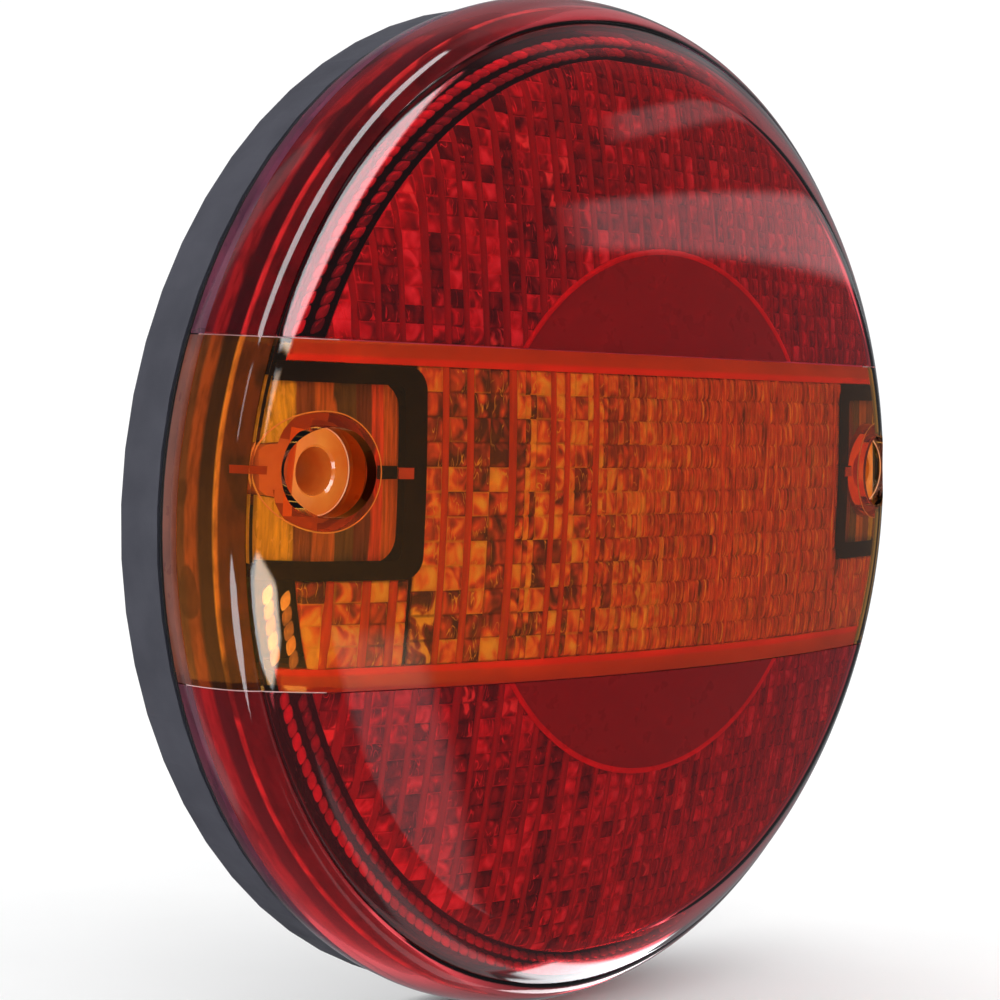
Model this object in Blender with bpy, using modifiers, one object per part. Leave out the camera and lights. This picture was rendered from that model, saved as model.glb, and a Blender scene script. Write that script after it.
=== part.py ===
"""Round trailer tail light, 140 mm across: a dark base, sealed inside, under a red and amber domed lens.

The lamp is modelled about its own axis: local +Z runs from the mounting face (0) out through the
lens, +X to the right and +Y up. One empty turns that frame so that the lens faces -Y and +Z is up.
"""

import math

import bmesh
import bpy
from mathutils import Matrix, Vector

# Driving dimensions, in metres
BASE_RADIUS = 0.0700
BASE_EDGE_RADIUS = 0.0703
BASE_EDGE_Z = 0.0081
BASE_BORE_RADIUS = 0.0652
FLOOR_Z = 0.0030
LENS_RIM_Z = 0.0090
LENS_RIM_RADIUS = 0.0706
LENS_WALL = 0.0023
DOME_TOP_Z = 0.0335
DOME_RADIUS = 0.2500
DOME_EDGE_RADIUS = 0.0598
CREASE_RADIUS = 0.0670
CREASE_Z = 0.0205
SHOULDER_SWELL = math.radians(9)
SIDE_BULGE_RADIUS = 0.0709
SIDE_BULGE_Z = 0.0115
SIDE_ARC_RADIUS = 0.0148
LENS_FOOT_INNER_RADIUS = 0.0666
LENS_FOOT_TOP_Z = 0.0105
SEAM_HEIGHT = 0.0215
BOSS_X = 0.0580
BOSS_Y = 0.0054
GAP = 0.0003

# Rings between base, lens and wall
SEAL_GROOVE = (0.0670, 0.0690, 0.0050)
SEAL_LIP_RADIUS = 0.0701
SEAL_LIP_THICKNESS = 0.00034
GASKET_GROOVE = (0.0635, 0.0675, 0.0013)
GASKET_PROUD_GAP = 0.0001

# Screw bosses
SEAT_Z = 0.0230
SEAT_RADIUS = 0.0053
RECESS_RADIUS = 0.0056
RECESS_TOP_Z = 0.0264
RECESS_WALL = 0.0016
SCREW_HOLE_RADIUS = 0.0030
TUBE_RADIUS = 0.0050
TUBE_END_Z = 0.0126
POST_RADIUS = 0.0059
POST_TOP_Z = 0.0114
SLEEVE_RADIUS = 0.0038
POST_SEAL_INNER = 0.0034
POST_SEAL_OUTER = 0.0048
RIB_THICKNESS = 0.0010
RIB_Z = (0.0130, 0.0170)
RIB_X = (0.0620, 0.0690)

# Black walls around each boss
SHIELD_X = 0.0456
SHIELD_HALF_HEIGHT = 0.0123
SHIELD_THICKNESS = 0.0016
SHIELD_CORNER = 0.0040
SHIELD_END_X = 0.0620
SHIELD_CLEARANCE = 0.0004

# Cable inlet
INLET_Y = -0.0370
INLET_HOLE_RADIUS = 0.0050
GROMMET_BORE_RADIUS = 0.0032
GROMMET_FLANGE_RADIUS = 0.0065
GROMMET_FLANGE_THICKNESS = 0.0010

# Circuit board and what it carries
BOARD_Z = 0.0060
BOARD_THICKNESS = 0.0016
BOARD_RADIUS = 0.0620
BOARD_HALF_WIDTH = 0.0440
BOARD_TOP_Z = BOARD_Z + BOARD_THICKNESS
PARTS_Z = BOARD_TOP_Z + GAP
BOARD_WIRE_HOLE_RADIUS = 0.0038
STANDOFF_X = 0.0340
STANDOFF_Y = 0.0460
STANDOFF_RADIUS = 0.0030
BOARD_SCREW_RADIUS = 0.0012
BOARD_SCREW_HEAD_RADIUS = 0.0022
BOARD_SCREW_HEAD_HEIGHT = 0.0014
BOARD_SCREW_END_Z = 0.0040
LED_FLANGE_RADIUS = 0.0029
LED_RADIUS = 0.0025
LED_HEIGHT = 0.0062
LED_FLANGE_HEIGHT = 0.0010
RED_LED_RING_RADIUS = 0.0455
RED_LED_ANGLES = [math.radians(36 + 18 * k) for k in range(7)]
AMBER_LED_COLUMNS = [0.0170 * k for k in range(-2, 3)]
AMBER_LED_ROW = 0.0085

# Light baffles and reflector plates
BAFFLE_HEIGHT = 0.0202
BAFFLE_THICKNESS = 0.0012
BAFFLE_HALF_WIDTH = 0.0520
REFLECTOR_Z = 0.0096
REFLECTOR_THICKNESS = 0.0012
REFLECTOR_HOLE_RADIUS = 0.0034
REFLECTOR_INNER_RADIUS = 0.0400
REFLECTOR_OUTER_RADIUS = 0.0545
REFLECTOR_EDGE = 0.0212
REFLECTOR_CENTRE_HALF = (0.0430, 0.0190)

# Terminals: a block with a well for each screw
TERMINAL_BLOCK_SIZE = (0.0240, 0.0080, 0.0070)
TERMINAL_BLOCK_Y = -0.0280
TERMINAL_COUNT = 4
TERMINAL_WELL_RADIUS = 0.0022
TERMINAL_WELL_DEPTH = 0.0020
TERMINAL_SCREW_RADIUS = 0.0018
TERMINAL_SCREW_HEIGHT = 0.0015

# Electronics on the board: length, width and height, and where they stand
CHIP_SIZE = (0.0080, 0.0060, 0.0016)
CHIP_PLACE = (-0.0120, 0.0300)
DIODE_SIZE = (0.0046, 0.0028, 0.0022)
DIODE_PLACE = (0.0000, 0.0310)
RESISTOR_SIZE = (0.0064, 0.0032, 0.0010)
RESISTOR_PLACES = ((-0.0040, 0.0255), (0.0180, 0.0265), (-0.0200, -0.0270))
CAPACITOR_RADIUS = 0.0035
CAPACITOR_HEIGHT = 0.0070
CAPACITOR_PLACE = (0.0090, 0.0310)

# Facets
LARGE_STEPS = 64
HOLE_STEPS = 24
SMALL_STEPS = 12
LED_STEPS = 8

MERGE = 0.00001


def clear_scene():
    for old in list(bpy.data.objects):
        bpy.data.objects.remove(old)


def new_collection(name):
    collection = bpy.data.collections.new(name)
    bpy.context.scene.collection.children.link(collection)
    return collection


def new_material(name, colour, roughness, metallic=0.0, transmission=0.0):
    material = bpy.data.materials.new(name)
    material.use_nodes = True
    shader = material.node_tree.nodes["Principled BSDF"]
    shader.inputs["Base Color"].default_value = (*colour, 1.0)
    shader.inputs["Roughness"].default_value = roughness
    shader.inputs["Metallic"].default_value = metallic
    shader.inputs["Transmission Weight"].default_value = transmission
    return material


def new_empty(name, parent=None):
    empty = bpy.data.objects.new(name, None)
    empty.parent = parent
    parts.objects.link(empty)
    return empty


def add_object(name, data, parent, material=None, location=(0, 0, 0)):
    """Links an object made from mesh or curve data: a part if it has a material, else a cutter."""
    thing = bpy.data.objects.new(name, data)
    thing.location = location
    thing.parent = parent
    if material is None:
        cutters.objects.link(thing)
        thing.hide_render = True
        thing.display_type = "WIRE"
    else:
        parts.objects.link(thing)
        data.materials.append(material)
    return thing


def turned(name, profile, steps, parent, material=None, location=(0, 0, 0)):
    """Turns a profile of (radius, height) points about local Z. It runs down the outer side.

    A profile that starts and ends on the axis is a solid of revolution, any other one is a ring.
    """
    mesh = bpy.data.meshes.new(name)
    points = [(radius, 0.0, height) for radius, height in profile]
    edges = [(k, k + 1) for k in range(len(points) - 1)]
    if profile[0][0] > 0:
        edges.append((len(points) - 1, 0))
    mesh.from_pydata(points, edges, [])
    thing = add_object(name, mesh, parent, material, location)
    screw = thing.modifiers.new("turn", "SCREW")
    screw.steps = steps
    screw.render_steps = steps
    screw.use_merge_vertices = True
    screw.merge_threshold = MERGE
    screw.use_smooth_shade = False
    return thing


def cylinder_profile(radius, low, high):
    return [(0, high), (radius, high), (radius, low), (0, low)]


def ring_profile(inner, outer, low, high):
    return [(inner, high), (outer, high), (outer, low), (inner, low)]


def block(name, size, centre, parent, material=None, bevel=0.0):
    mesh = bpy.data.meshes.new(name)
    shape = bmesh.new()
    bmesh.ops.create_cube(shape, size=1.0, matrix=Matrix.Diagonal((*size, 1.0)))
    shape.to_mesh(mesh)
    shape.free()
    thing = add_object(name, mesh, parent, material, centre)
    if bevel:
        rounding = thing.modifiers.new("edges", "BEVEL")
        rounding.width = bevel
        rounding.segments = 1
    return thing


def pillars(name, centres, radius, low, high, steps, parent):
    """One cutter that holds an upright cylinder at each centre."""
    mesh = bpy.data.meshes.new(name)
    shape = bmesh.new()
    for x, y in centres:
        place = Matrix.Translation((x, y, (low + high) / 2))
        bmesh.ops.create_cone(shape, cap_ends=True, segments=steps, radius1=radius,
                              radius2=radius, depth=high - low, matrix=place)
    shape.to_mesh(mesh)
    shape.free()
    return add_object(name, mesh, parent)


def combine(thing, other, operation):
    change = thing.modifiers.new(operation.lower() + " " + other.name, "BOOLEAN")
    change.operation = operation
    change.object = other
    change.solver = "EXACT"


def cut_all(thing, name, tools):
    """Cuts several tools out of a thing at once."""
    group = bpy.data.collections.new(name)
    cutters.children.link(group)
    for tool in tools:
        group.objects.link(tool)
        cutters.objects.unlink(tool)
    change = thing.modifiers.new(name, "BOOLEAN")
    change.operation = "DIFFERENCE"
    change.operand_type = "COLLECTION"
    change.collection = group
    change.solver = "EXACT"


def circle(centre, radius, steps):
    angles = [2 * math.pi * k / steps for k in range(steps)]
    return [(centre[0] + radius * math.cos(a), centre[1] + radius * math.sin(a)) for a in angles]


def arc(centre, radius, start, end, steps):
    angles = [start + (end - start) * k / steps for k in range(steps + 1)]
    return [(centre[0] + radius * math.cos(a), centre[1] + radius * math.sin(a)) for a in angles]


def plate(name, outlines, low, thickness, parent, material=None):
    """A flat plate from a closed outline, with any further outlines as holes in it."""
    curve = bpy.data.curves.new(name, "CURVE")
    curve.dimensions = "2D"
    curve.fill_mode = "BOTH"
    curve.extrude = thickness / 2
    for outline in outlines:
        spline = curve.splines.new("POLY")
        spline.points.add(len(outline) - 1)
        for point, (x, y) in zip(spline.points, outline):
            point.co = (x, y, 0.0, 1.0)
        spline.use_cyclic_u = True
    return add_object(name, curve, parent, material, (0, 0, low + thickness / 2))


def as_mesh(curve_object):
    """Replaces a curve object by a mesh one with its caps welded, so that it can be cut."""
    bpy.context.view_layer.update()
    depsgraph = bpy.context.evaluated_depsgraph_get()
    mesh = bpy.data.meshes.new_from_object(curve_object.evaluated_get(depsgraph))
    shape = bmesh.new()
    shape.from_mesh(mesh)
    bmesh.ops.remove_doubles(shape, verts=shape.verts, dist=MERGE)
    bmesh.ops.recalc_face_normals(shape, faces=shape.faces)
    shape.to_mesh(mesh)
    shape.free()
    name = curve_object.name
    parent = curve_object.parent
    place = curve_object.matrix_world.copy()
    collection = curve_object.users_collection[0]
    bpy.data.objects.remove(curve_object)
    thing = bpy.data.objects.new(name, mesh)
    collection.objects.link(thing)
    thing.parent = parent
    thing.matrix_world = place
    return thing


def inset(profile, distance):
    """Moves an open profile inward by a wall thickness, mitred at its corners."""
    points = [Vector(point) for point in profile]
    normals = []
    for a, b in zip(points, points[1:]):
        along = (b - a).normalized()
        normals.append(Vector((-along.y, along.x)))
    moved = []
    for k, point in enumerate(points):
        before = normals[max(k - 1, 0)]
        after = normals[min(k, len(normals) - 1)]
        moved.append(tuple(point - distance * (before + after) / (1 + before.dot(after))))
    moved[0] = (0.0, moved[0][1])
    return moved


def dome_z(radius, wall=0.0):
    """Height of the lens dome at a radius, or of its inner face if a wall is given."""
    return DOME_TOP_Z - DOME_RADIUS + math.sqrt((DOME_RADIUS - wall) ** 2 - radius ** 2)


def shoulder_points():
    """The slightly swollen slope from the edge of the dome to the crease, both left out."""
    start = Vector((DOME_EDGE_RADIUS, dome_z(DOME_EDGE_RADIUS)))
    end = Vector((CREASE_RADIUS, CREASE_Z))
    chord = end - start
    outward = Vector((-chord.y, chord.x)).normalized()
    swell_radius = chord.length / 2 / math.sin(SHOULDER_SWELL)
    points = []
    for share in (-0.5, 0.0, 0.5):
        angle = SHOULDER_SWELL * share
        along = 0.5 + math.sin(angle) / (2 * math.sin(SHOULDER_SWELL))
        rise = swell_radius * (math.cos(angle) - math.cos(SHOULDER_SWELL))
        points.append(tuple(start + chord * along + outward * rise))
    return points


def lens_outer_profile():
    """From the top of the dome, over the shoulder and down the bulged side wall."""
    dome = [(DOME_EDGE_RADIUS * k / 7, dome_z(DOME_EDGE_RADIUS * k / 7)) for k in range(8)]
    crease = [(CREASE_RADIUS, CREASE_Z)]
    centre_radius = SIDE_BULGE_RADIUS - SIDE_ARC_RADIUS
    side = []
    for z in (0.0180, 0.0150, SIDE_BULGE_Z):
        rise = z - SIDE_BULGE_Z
        side.append((centre_radius + math.sqrt(SIDE_ARC_RADIUS ** 2 - rise ** 2), z))
    return dome + shoulder_points() + crease + side


def lens_shell_profile():
    """The whole section of the lens, with a flat foot that is wider than its wall."""
    outer = lens_outer_profile()
    inner = inset(outer, LENS_WALL)
    return [
        *outer,
        (LENS_RIM_RADIUS, LENS_RIM_Z),
        (LENS_FOOT_INNER_RADIUS, LENS_RIM_Z),
        (LENS_FOOT_INNER_RADIUS, LENS_FOOT_TOP_Z),
        *reversed(inner),
    ]


def lens_solid_profile(depth):
    """The space inside the lens, its walls moved in by a depth."""
    outline = inset(lens_outer_profile(), depth)
    return [*outline, (outline[-1][0], 0.0), (0.0, 0.0)]


def make_lens_shell(name, material, low, high):
    """The part of the lens between two heights."""
    lens = turned(name, lens_shell_profile(), LARGE_STEPS, lens_carrier, material)
    reach = 0.2
    band = block(name + "_band", (reach, high - low, reach), (0, (low + high) / 2, 0), lens_carrier)
    combine(lens, band, "INTERSECT")
    return lens


def make_boss(side):
    """A solid boss that stands inside the lens, trimmed just under its outer face."""
    centre = (side * BOSS_X, BOSS_Y, 0)
    floor_z = SEAT_Z - RECESS_WALL
    profile = [
        (0, DOME_TOP_Z),
        (RECESS_RADIUS + RECESS_WALL, DOME_TOP_Z),
        (RECESS_RADIUS + RECESS_WALL, RECESS_TOP_Z - RECESS_WALL),
        (SEAT_RADIUS + RECESS_WALL, floor_z),
        (TUBE_RADIUS, floor_z),
        (TUBE_RADIUS, TUBE_END_Z),
        (0, TUBE_END_Z),
    ]
    label = "left" if side < 0 else "right"
    boss = turned("boss_" + label, profile, HOLE_STEPS, lens_carrier, None, centre)
    limit = turned("boss_limit_" + label, lens_solid_profile(LENS_WALL / 4), LARGE_STEPS, lens_carrier)
    combine(boss, limit, "INTERSECT")
    return boss


def make_lenses():
    red = new_material("red_lens", (0.55, 0.01, 0.02), 0.05, transmission=0.9)
    amber = new_material("amber_lens", (0.95, 0.30, 0.02), 0.05, transmission=0.9)
    beyond = 0.08
    make_lens_shell("lens_red_upper", red, SEAM_HEIGHT + GAP / 2, beyond)
    make_lens_shell("lens_red_lower", red, -beyond, -SEAM_HEIGHT - GAP / 2)
    centre = make_lens_shell(
        "lens_amber_centre", amber, -SEAM_HEIGHT + GAP / 2, SEAM_HEIGHT - GAP / 2)
    recess = [
        (0, DOME_TOP_Z + 0.003),
        (RECESS_RADIUS, DOME_TOP_Z + 0.003),
        (RECESS_RADIUS, RECESS_TOP_Z),
        (SEAT_RADIUS, SEAT_Z),
        (SCREW_HOLE_RADIUS, SEAT_Z),
        (SCREW_HOLE_RADIUS, TUBE_END_Z - 0.003),
        (0, TUBE_END_Z - 0.003),
    ]
    for side in (-1, 1):
        combine(centre, make_boss(side), "UNION")
        rib_size = (RIB_X[1] - RIB_X[0], RIB_THICKNESS, RIB_Z[1] - RIB_Z[0])
        rib_centre = (side * sum(RIB_X) / 2, BOSS_Y, sum(RIB_Z) / 2)
        rib = block(f"boss_rib_{side}", rib_size, rib_centre, lens_carrier)
        combine(centre, rib, "UNION")
    tools = [turned(f"recess_{side}", recess, HOLE_STEPS, lens_carrier, None, (side * BOSS_X, BOSS_Y, 0))
             for side in (-1, 1)]
    cut_all(centre, "recesses", tools)


def make_base():
    """The cup that screws to the trailer, with its posts, standoffs and the three rows of holes."""
    plastic = new_material("base_plastic", (0.07, 0.075, 0.09), 0.55)
    groove_in, groove_out, groove_floor = SEAL_GROOVE
    gasket_in, gasket_out, gasket_depth = GASKET_GROOVE
    back_chamfer = 0.0007
    profile = [
        (0, FLOOR_Z),
        (BASE_BORE_RADIUS, FLOOR_Z),
        (BASE_BORE_RADIUS, BASE_EDGE_Z),
        (groove_in, BASE_EDGE_Z),
        (groove_in, groove_floor),
        (groove_out, groove_floor),
        (groove_out, BASE_EDGE_Z),
        (BASE_EDGE_RADIUS, BASE_EDGE_Z),
        (BASE_RADIUS, back_chamfer),
        (BASE_RADIUS - back_chamfer, 0),
        (gasket_out, 0),
        (gasket_out, gasket_depth),
        (gasket_in, gasket_depth),
        (gasket_in, 0),
        (0, 0),
    ]
    base = turned("base_housing", profile, LARGE_STEPS, lamp_axis, plastic)
    posts = [(side * BOSS_X, BOSS_Y) for side in (-1, 1)]
    standoff_top = BOARD_Z - GAP
    half_floor = FLOOR_Z / 2
    behind = -0.002
    posts_solid = pillars("posts", posts, POST_RADIUS, half_floor, POST_TOP_Z, HOLE_STEPS, lamp_axis)
    combine(base, posts_solid, "UNION")
    standoffs = pillars("standoffs", standoff_centres(), STANDOFF_RADIUS, half_floor,
                        standoff_top, SMALL_STEPS, lamp_axis)
    combine(base, standoffs, "UNION")
    bores = pillars("post_bores", posts, SLEEVE_RADIUS + GAP, behind, 0.02, HOLE_STEPS, lamp_axis)
    combine(base, bores, "DIFFERENCE")
    inlet = pillars("inlet_hole", [(0, INLET_Y)], INLET_HOLE_RADIUS, behind, 0.005,
                    HOLE_STEPS, lamp_axis)
    combine(base, inlet, "DIFFERENCE")
    pilot_floor = BOARD_SCREW_END_Z - 2 * GAP
    pilots = pillars("pilot_holes", standoff_centres(), BOARD_SCREW_RADIUS + GAP, pilot_floor,
                     standoff_top + 0.001, SMALL_STEPS, lamp_axis)
    combine(base, pilots, "DIFFERENCE")


def standoff_centres():
    return [(sx * STANDOFF_X, sy * STANDOFF_Y) for sx in (-1, 1) for sy in (-1, 1)]


def make_rings():
    rubber = new_material("black_rubber", (0.015, 0.015, 0.017), 0.75)
    foam = new_material("black_foam", (0.02, 0.02, 0.022), 0.95)
    groove_in, groove_out, groove_floor = SEAL_GROOVE
    lip_middle = (BASE_EDGE_Z + LENS_RIM_Z) / 2
    lip_top = lip_middle + SEAL_LIP_THICKNESS / 2
    lip_bottom = lip_middle - SEAL_LIP_THICKNESS / 2
    seal = [
        (groove_in + GAP, lip_top),
        (SEAL_LIP_RADIUS, lip_top),
        (SEAL_LIP_RADIUS, lip_bottom),
        (groove_out - GAP, lip_bottom),
        (groove_out - GAP, groove_floor + GAP),
        (groove_in + GAP, groove_floor + GAP),
    ]
    turned("lens_seal", seal, LARGE_STEPS, lamp_axis, rubber)
    gasket_in, gasket_out, gasket_depth = GASKET_GROOVE
    gasket = ring_profile(gasket_in + GAP, gasket_out - GAP, GASKET_PROUD_GAP, gasket_depth - GAP)
    turned("mounting_gasket", gasket, LARGE_STEPS, lamp_axis, foam)
    neck_radius = INLET_HOLE_RADIUS - GAP
    flange_low = FLOOR_Z + GAP
    grommet = [
        (GROMMET_BORE_RADIUS, flange_low + GROMMET_FLANGE_THICKNESS),
        (GROMMET_FLANGE_RADIUS, flange_low + GROMMET_FLANGE_THICKNESS),
        (GROMMET_FLANGE_RADIUS, flange_low),
        (neck_radius, flange_low),
        (neck_radius, GASKET_PROUD_GAP),
        (GROMMET_BORE_RADIUS, GASKET_PROUD_GAP),
    ]
    turned("cable_grommet", grommet, HOLE_STEPS, lamp_axis, rubber, (0, INLET_Y, 0))


def make_screw_passages():
    """What each mounting screw passes through behind the lens: a seal, a steel sleeve, a wall."""
    rubber = new_material("seal_rubber", (0.02, 0.02, 0.022), 0.7)
    steel = new_material("zinc_steel", (0.62, 0.62, 0.60), 0.35, metallic=1.0)
    black = new_material("shield_plastic", (0.012, 0.012, 0.013), 0.4)
    for side, label in ((-1, "left"), (1, "right")):
        place = (side * BOSS_X, BOSS_Y, 0)
        seal = ring_profile(POST_SEAL_INNER, POST_SEAL_OUTER, POST_TOP_Z + GAP, TUBE_END_Z - GAP)
        turned("post_seal_" + label, seal, HOLE_STEPS, lamp_axis, rubber, place)
        sleeve = ring_profile(SCREW_HOLE_RADIUS, SLEEVE_RADIUS, 0.0, POST_TOP_Z)
        turned("compression_sleeve_" + label, sleeve, HOLE_STEPS, lamp_axis, steel, place)
        make_shield("screw_shield_" + label, side, black)


def shield_outline(side):
    """A U that opens towards the rim: its outer line, then back along its inner line."""
    half = SHIELD_THICKNESS / 2
    lines = []
    for offset in (half, -half):
        radius = SHIELD_CORNER + offset
        centre_x = SHIELD_X + SHIELD_CORNER
        top = BOSS_Y + SHIELD_HALF_HEIGHT
        bottom = BOSS_Y - SHIELD_HALF_HEIGHT
        upper = arc((centre_x, top - SHIELD_CORNER), radius, math.pi / 2, math.pi, 3)
        lower = arc((centre_x, bottom + SHIELD_CORNER), radius, math.pi, 1.5 * math.pi, 3)
        line = [(SHIELD_END_X, top + offset), *upper, *lower, (SHIELD_END_X, bottom - offset)]
        lines.append(line)
    outline = lines[0] + lines[1][::-1]
    return [(side * x, y) for x, y in outline]


def make_shield(name, side, material):
    low = FLOOR_Z + GAP
    wall = as_mesh(plate(name, [shield_outline(side)], low, DOME_TOP_Z - low, lamp_axis, material))
    space = turned(name + "_space", lens_solid_profile(LENS_WALL + SHIELD_CLEARANCE),
                   LARGE_STEPS, lamp_axis)
    combine(wall, space, "INTERSECT")


def board_outline():
    """A disc with its left and right sides cut straight, clear of the screw posts."""
    corner = math.acos(BOARD_HALF_WIDTH / BOARD_RADIUS)
    upper = arc((0, 0), BOARD_RADIUS, corner, math.pi - corner, 10)
    lower = arc((0, 0), BOARD_RADIUS, math.pi + corner, 2 * math.pi - corner, 10)
    return upper + lower


def make_board():
    laminate = new_material("board_laminate", (0.02, 0.16, 0.07), 0.4)
    steel = new_material("screw_steel", (0.65, 0.65, 0.66), 0.3, metallic=1.0)
    holes = [circle(centre, BOARD_SCREW_RADIUS + GAP, SMALL_STEPS) for centre in standoff_centres()]
    holes.append(circle((0, INLET_Y), BOARD_WIRE_HOLE_RADIUS, HOLE_STEPS))
    plate("circuit_board", [board_outline(), *holes], BOARD_Z, BOARD_THICKNESS, lamp_axis, laminate)
    screw = [
        (0, PARTS_Z + BOARD_SCREW_HEAD_HEIGHT),
        (BOARD_SCREW_HEAD_RADIUS * 0.7, PARTS_Z + BOARD_SCREW_HEAD_HEIGHT),
        (BOARD_SCREW_HEAD_RADIUS, PARTS_Z + BOARD_SCREW_HEAD_HEIGHT / 2),
        (BOARD_SCREW_HEAD_RADIUS, PARTS_Z),
        (BOARD_SCREW_RADIUS, PARTS_Z),
        (BOARD_SCREW_RADIUS, BOARD_SCREW_END_Z),
        (0, BOARD_SCREW_END_Z),
    ]
    for number, (x, y) in enumerate(standoff_centres(), 1):
        turned(f"board_screw_{number}", screw, SMALL_STEPS, lamp_axis, steel, (x, y, 0))


def led_centres():
    """Every LED's place, by name: a red arc above and below, and two amber rows between."""
    places = {}
    for zone, sign in (("upper", 1), ("lower", -1)):
        for number, angle in enumerate(RED_LED_ANGLES, 1):
            x = RED_LED_RING_RADIUS * math.cos(angle)
            y = sign * RED_LED_RING_RADIUS * math.sin(angle)
            places[f"red_led_{zone}_{number}"] = (x, y)
    amber = [(x, sign * AMBER_LED_ROW) for sign in (1, -1) for x in AMBER_LED_COLUMNS]
    for number, place in enumerate(amber, 1):
        places[f"amber_led_{number}"] = place
    return places


def make_leds():
    red = new_material("red_led", (0.75, 0.04, 0.04), 0.12)
    amber = new_material("amber_led", (0.95, 0.55, 0.06), 0.12)
    body_end = PARTS_Z + LED_HEIGHT - LED_RADIUS
    profile = [
        (0, PARTS_Z + LED_HEIGHT),
        (LED_RADIUS * 0.7, PARTS_Z + LED_HEIGHT - LED_RADIUS * 0.3),
        (LED_RADIUS, body_end),
        (LED_RADIUS, PARTS_Z + LED_FLANGE_HEIGHT),
        (LED_FLANGE_RADIUS, PARTS_Z + LED_FLANGE_HEIGHT),
        (LED_FLANGE_RADIUS, PARTS_Z),
        (0, PARTS_Z),
    ]
    for name, (x, y) in led_centres().items():
        material = red if name.startswith("red") else amber
        turned(name, profile, LED_STEPS, lamp_axis, material, (x, y, 0))


def make_baffles():
    white = new_material("baffle_plastic", (0.70, 0.70, 0.68), 0.5)
    spans = [BAFFLE_HALF_WIDTH * k / 6 for k in range(-6, 7)]
    top = []
    for x in spans:
        radius = math.hypot(x, BAFFLE_HEIGHT + BAFFLE_THICKNESS / 2)
        top.append((x, dome_z(radius, LENS_WALL) - SHIELD_CLEARANCE))
    outline = [(-BAFFLE_HALF_WIDTH, PARTS_Z), (BAFFLE_HALF_WIDTH, PARTS_Z), *reversed(top)]
    for label, sign in (("upper", 1), ("lower", -1)):
        baffle = plate("light_baffle_" + label, [outline], 0, BAFFLE_THICKNESS, lamp_axis, white)
        baffle.rotation_euler = (math.pi / 2, 0, 0)
        baffle.location = (0, sign * BAFFLE_HEIGHT, 0)


def make_reflectors():
    chrome = new_material("metallised_plastic", (0.80, 0.80, 0.82), 0.15, metallic=1.0)
    places = led_centres()
    inner_start = math.asin(REFLECTOR_EDGE / REFLECTOR_INNER_RADIUS)
    outer_start = math.asin(REFLECTOR_EDGE / REFLECTOR_OUTER_RADIUS)
    sector = arc((0, 0), REFLECTOR_OUTER_RADIUS, outer_start, math.pi - outer_start, 14)
    sector += arc((0, 0), REFLECTOR_INNER_RADIUS, math.pi - inner_start, inner_start, 10)
    for zone, sign in (("upper", 1), ("lower", -1)):
        outline = [(x, sign * y) for x, y in sector]
        holes = [circle(place, REFLECTOR_HOLE_RADIUS, SMALL_STEPS)
                 for name, place in places.items() if name.startswith("red_led_" + zone)]
        plate("reflector_" + zone, [outline, *holes], REFLECTOR_Z, REFLECTOR_THICKNESS,
              lamp_axis, chrome)
    half_x, half_y = REFLECTOR_CENTRE_HALF
    outline = [(-half_x, -half_y), (half_x, -half_y), (half_x, half_y), (-half_x, half_y)]
    holes = [circle(place, REFLECTOR_HOLE_RADIUS, SMALL_STEPS)
             for name, place in places.items() if name.startswith("amber_led")]
    plate("reflector_centre", [outline, *holes], REFLECTOR_Z, REFLECTOR_THICKNESS, lamp_axis, chrome)


def make_terminals():
    """Four terminals for earth, tail, stop and indicator, beside the cable inlet."""
    grey = new_material("terminal_plastic", (0.35, 0.37, 0.38), 0.5)
    brass = new_material("terminal_brass", (0.70, 0.52, 0.25), 0.35, metallic=1.0)
    length, width, height = TERMINAL_BLOCK_SIZE
    body = block("terminal_block", TERMINAL_BLOCK_SIZE, (0, TERMINAL_BLOCK_Y, PARTS_Z + height / 2),
                 lamp_axis, grey, 0.0004)
    pitch = length / TERMINAL_COUNT
    middle = (TERMINAL_COUNT - 1) / 2
    centres = [((k - middle) * pitch, TERMINAL_BLOCK_Y) for k in range(TERMINAL_COUNT)]
    well_floor = PARTS_Z + height - TERMINAL_WELL_DEPTH
    wells = pillars("terminal_wells", centres, TERMINAL_WELL_RADIUS, well_floor,
                    well_floor + 2 * TERMINAL_WELL_DEPTH, SMALL_STEPS, lamp_axis)
    combine(body, wells, "DIFFERENCE")
    head_low = well_floor + GAP
    head = cylinder_profile(TERMINAL_SCREW_RADIUS, head_low, head_low + TERMINAL_SCREW_HEIGHT)
    for number, (x, y) in enumerate(centres, 1):
        turned(f"terminal_screw_{number}", head, SMALL_STEPS, lamp_axis, brass, (x, y, 0))


def on_board(name, size, place, material, bevel=0.0):
    """A block that stands on the circuit board."""
    block(name, size, (*place, PARTS_Z + size[2] / 2), lamp_axis, material, bevel)


def make_electronics():
    epoxy = new_material("black_epoxy", (0.02, 0.02, 0.02), 0.4)
    ceramic = new_material("resistor_ceramic", (0.75, 0.74, 0.70), 0.5)
    can = new_material("capacitor_can", (0.60, 0.61, 0.63), 0.3, metallic=1.0)
    on_board("driver_chip", CHIP_SIZE, CHIP_PLACE, epoxy, 0.0002)
    on_board("protection_diode", DIODE_SIZE, DIODE_PLACE, epoxy, 0.0002)
    for number, place in enumerate(RESISTOR_PLACES, 1):
        on_board(f"load_resistor_{number}", RESISTOR_SIZE, place, ceramic)
    capacitor = cylinder_profile(CAPACITOR_RADIUS, PARTS_Z, PARTS_Z + CAPACITOR_HEIGHT)
    turned("filter_capacitor", capacitor, HOLE_STEPS, lamp_axis, can, (*CAPACITOR_PLACE, 0))


def smooth_round_parts():
    for thing in parts.objects:
        if thing.type == "MESH":
            thing.data.shade_smooth()
            thing.data.set_sharp_from_angle(angle=math.radians(30))


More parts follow.
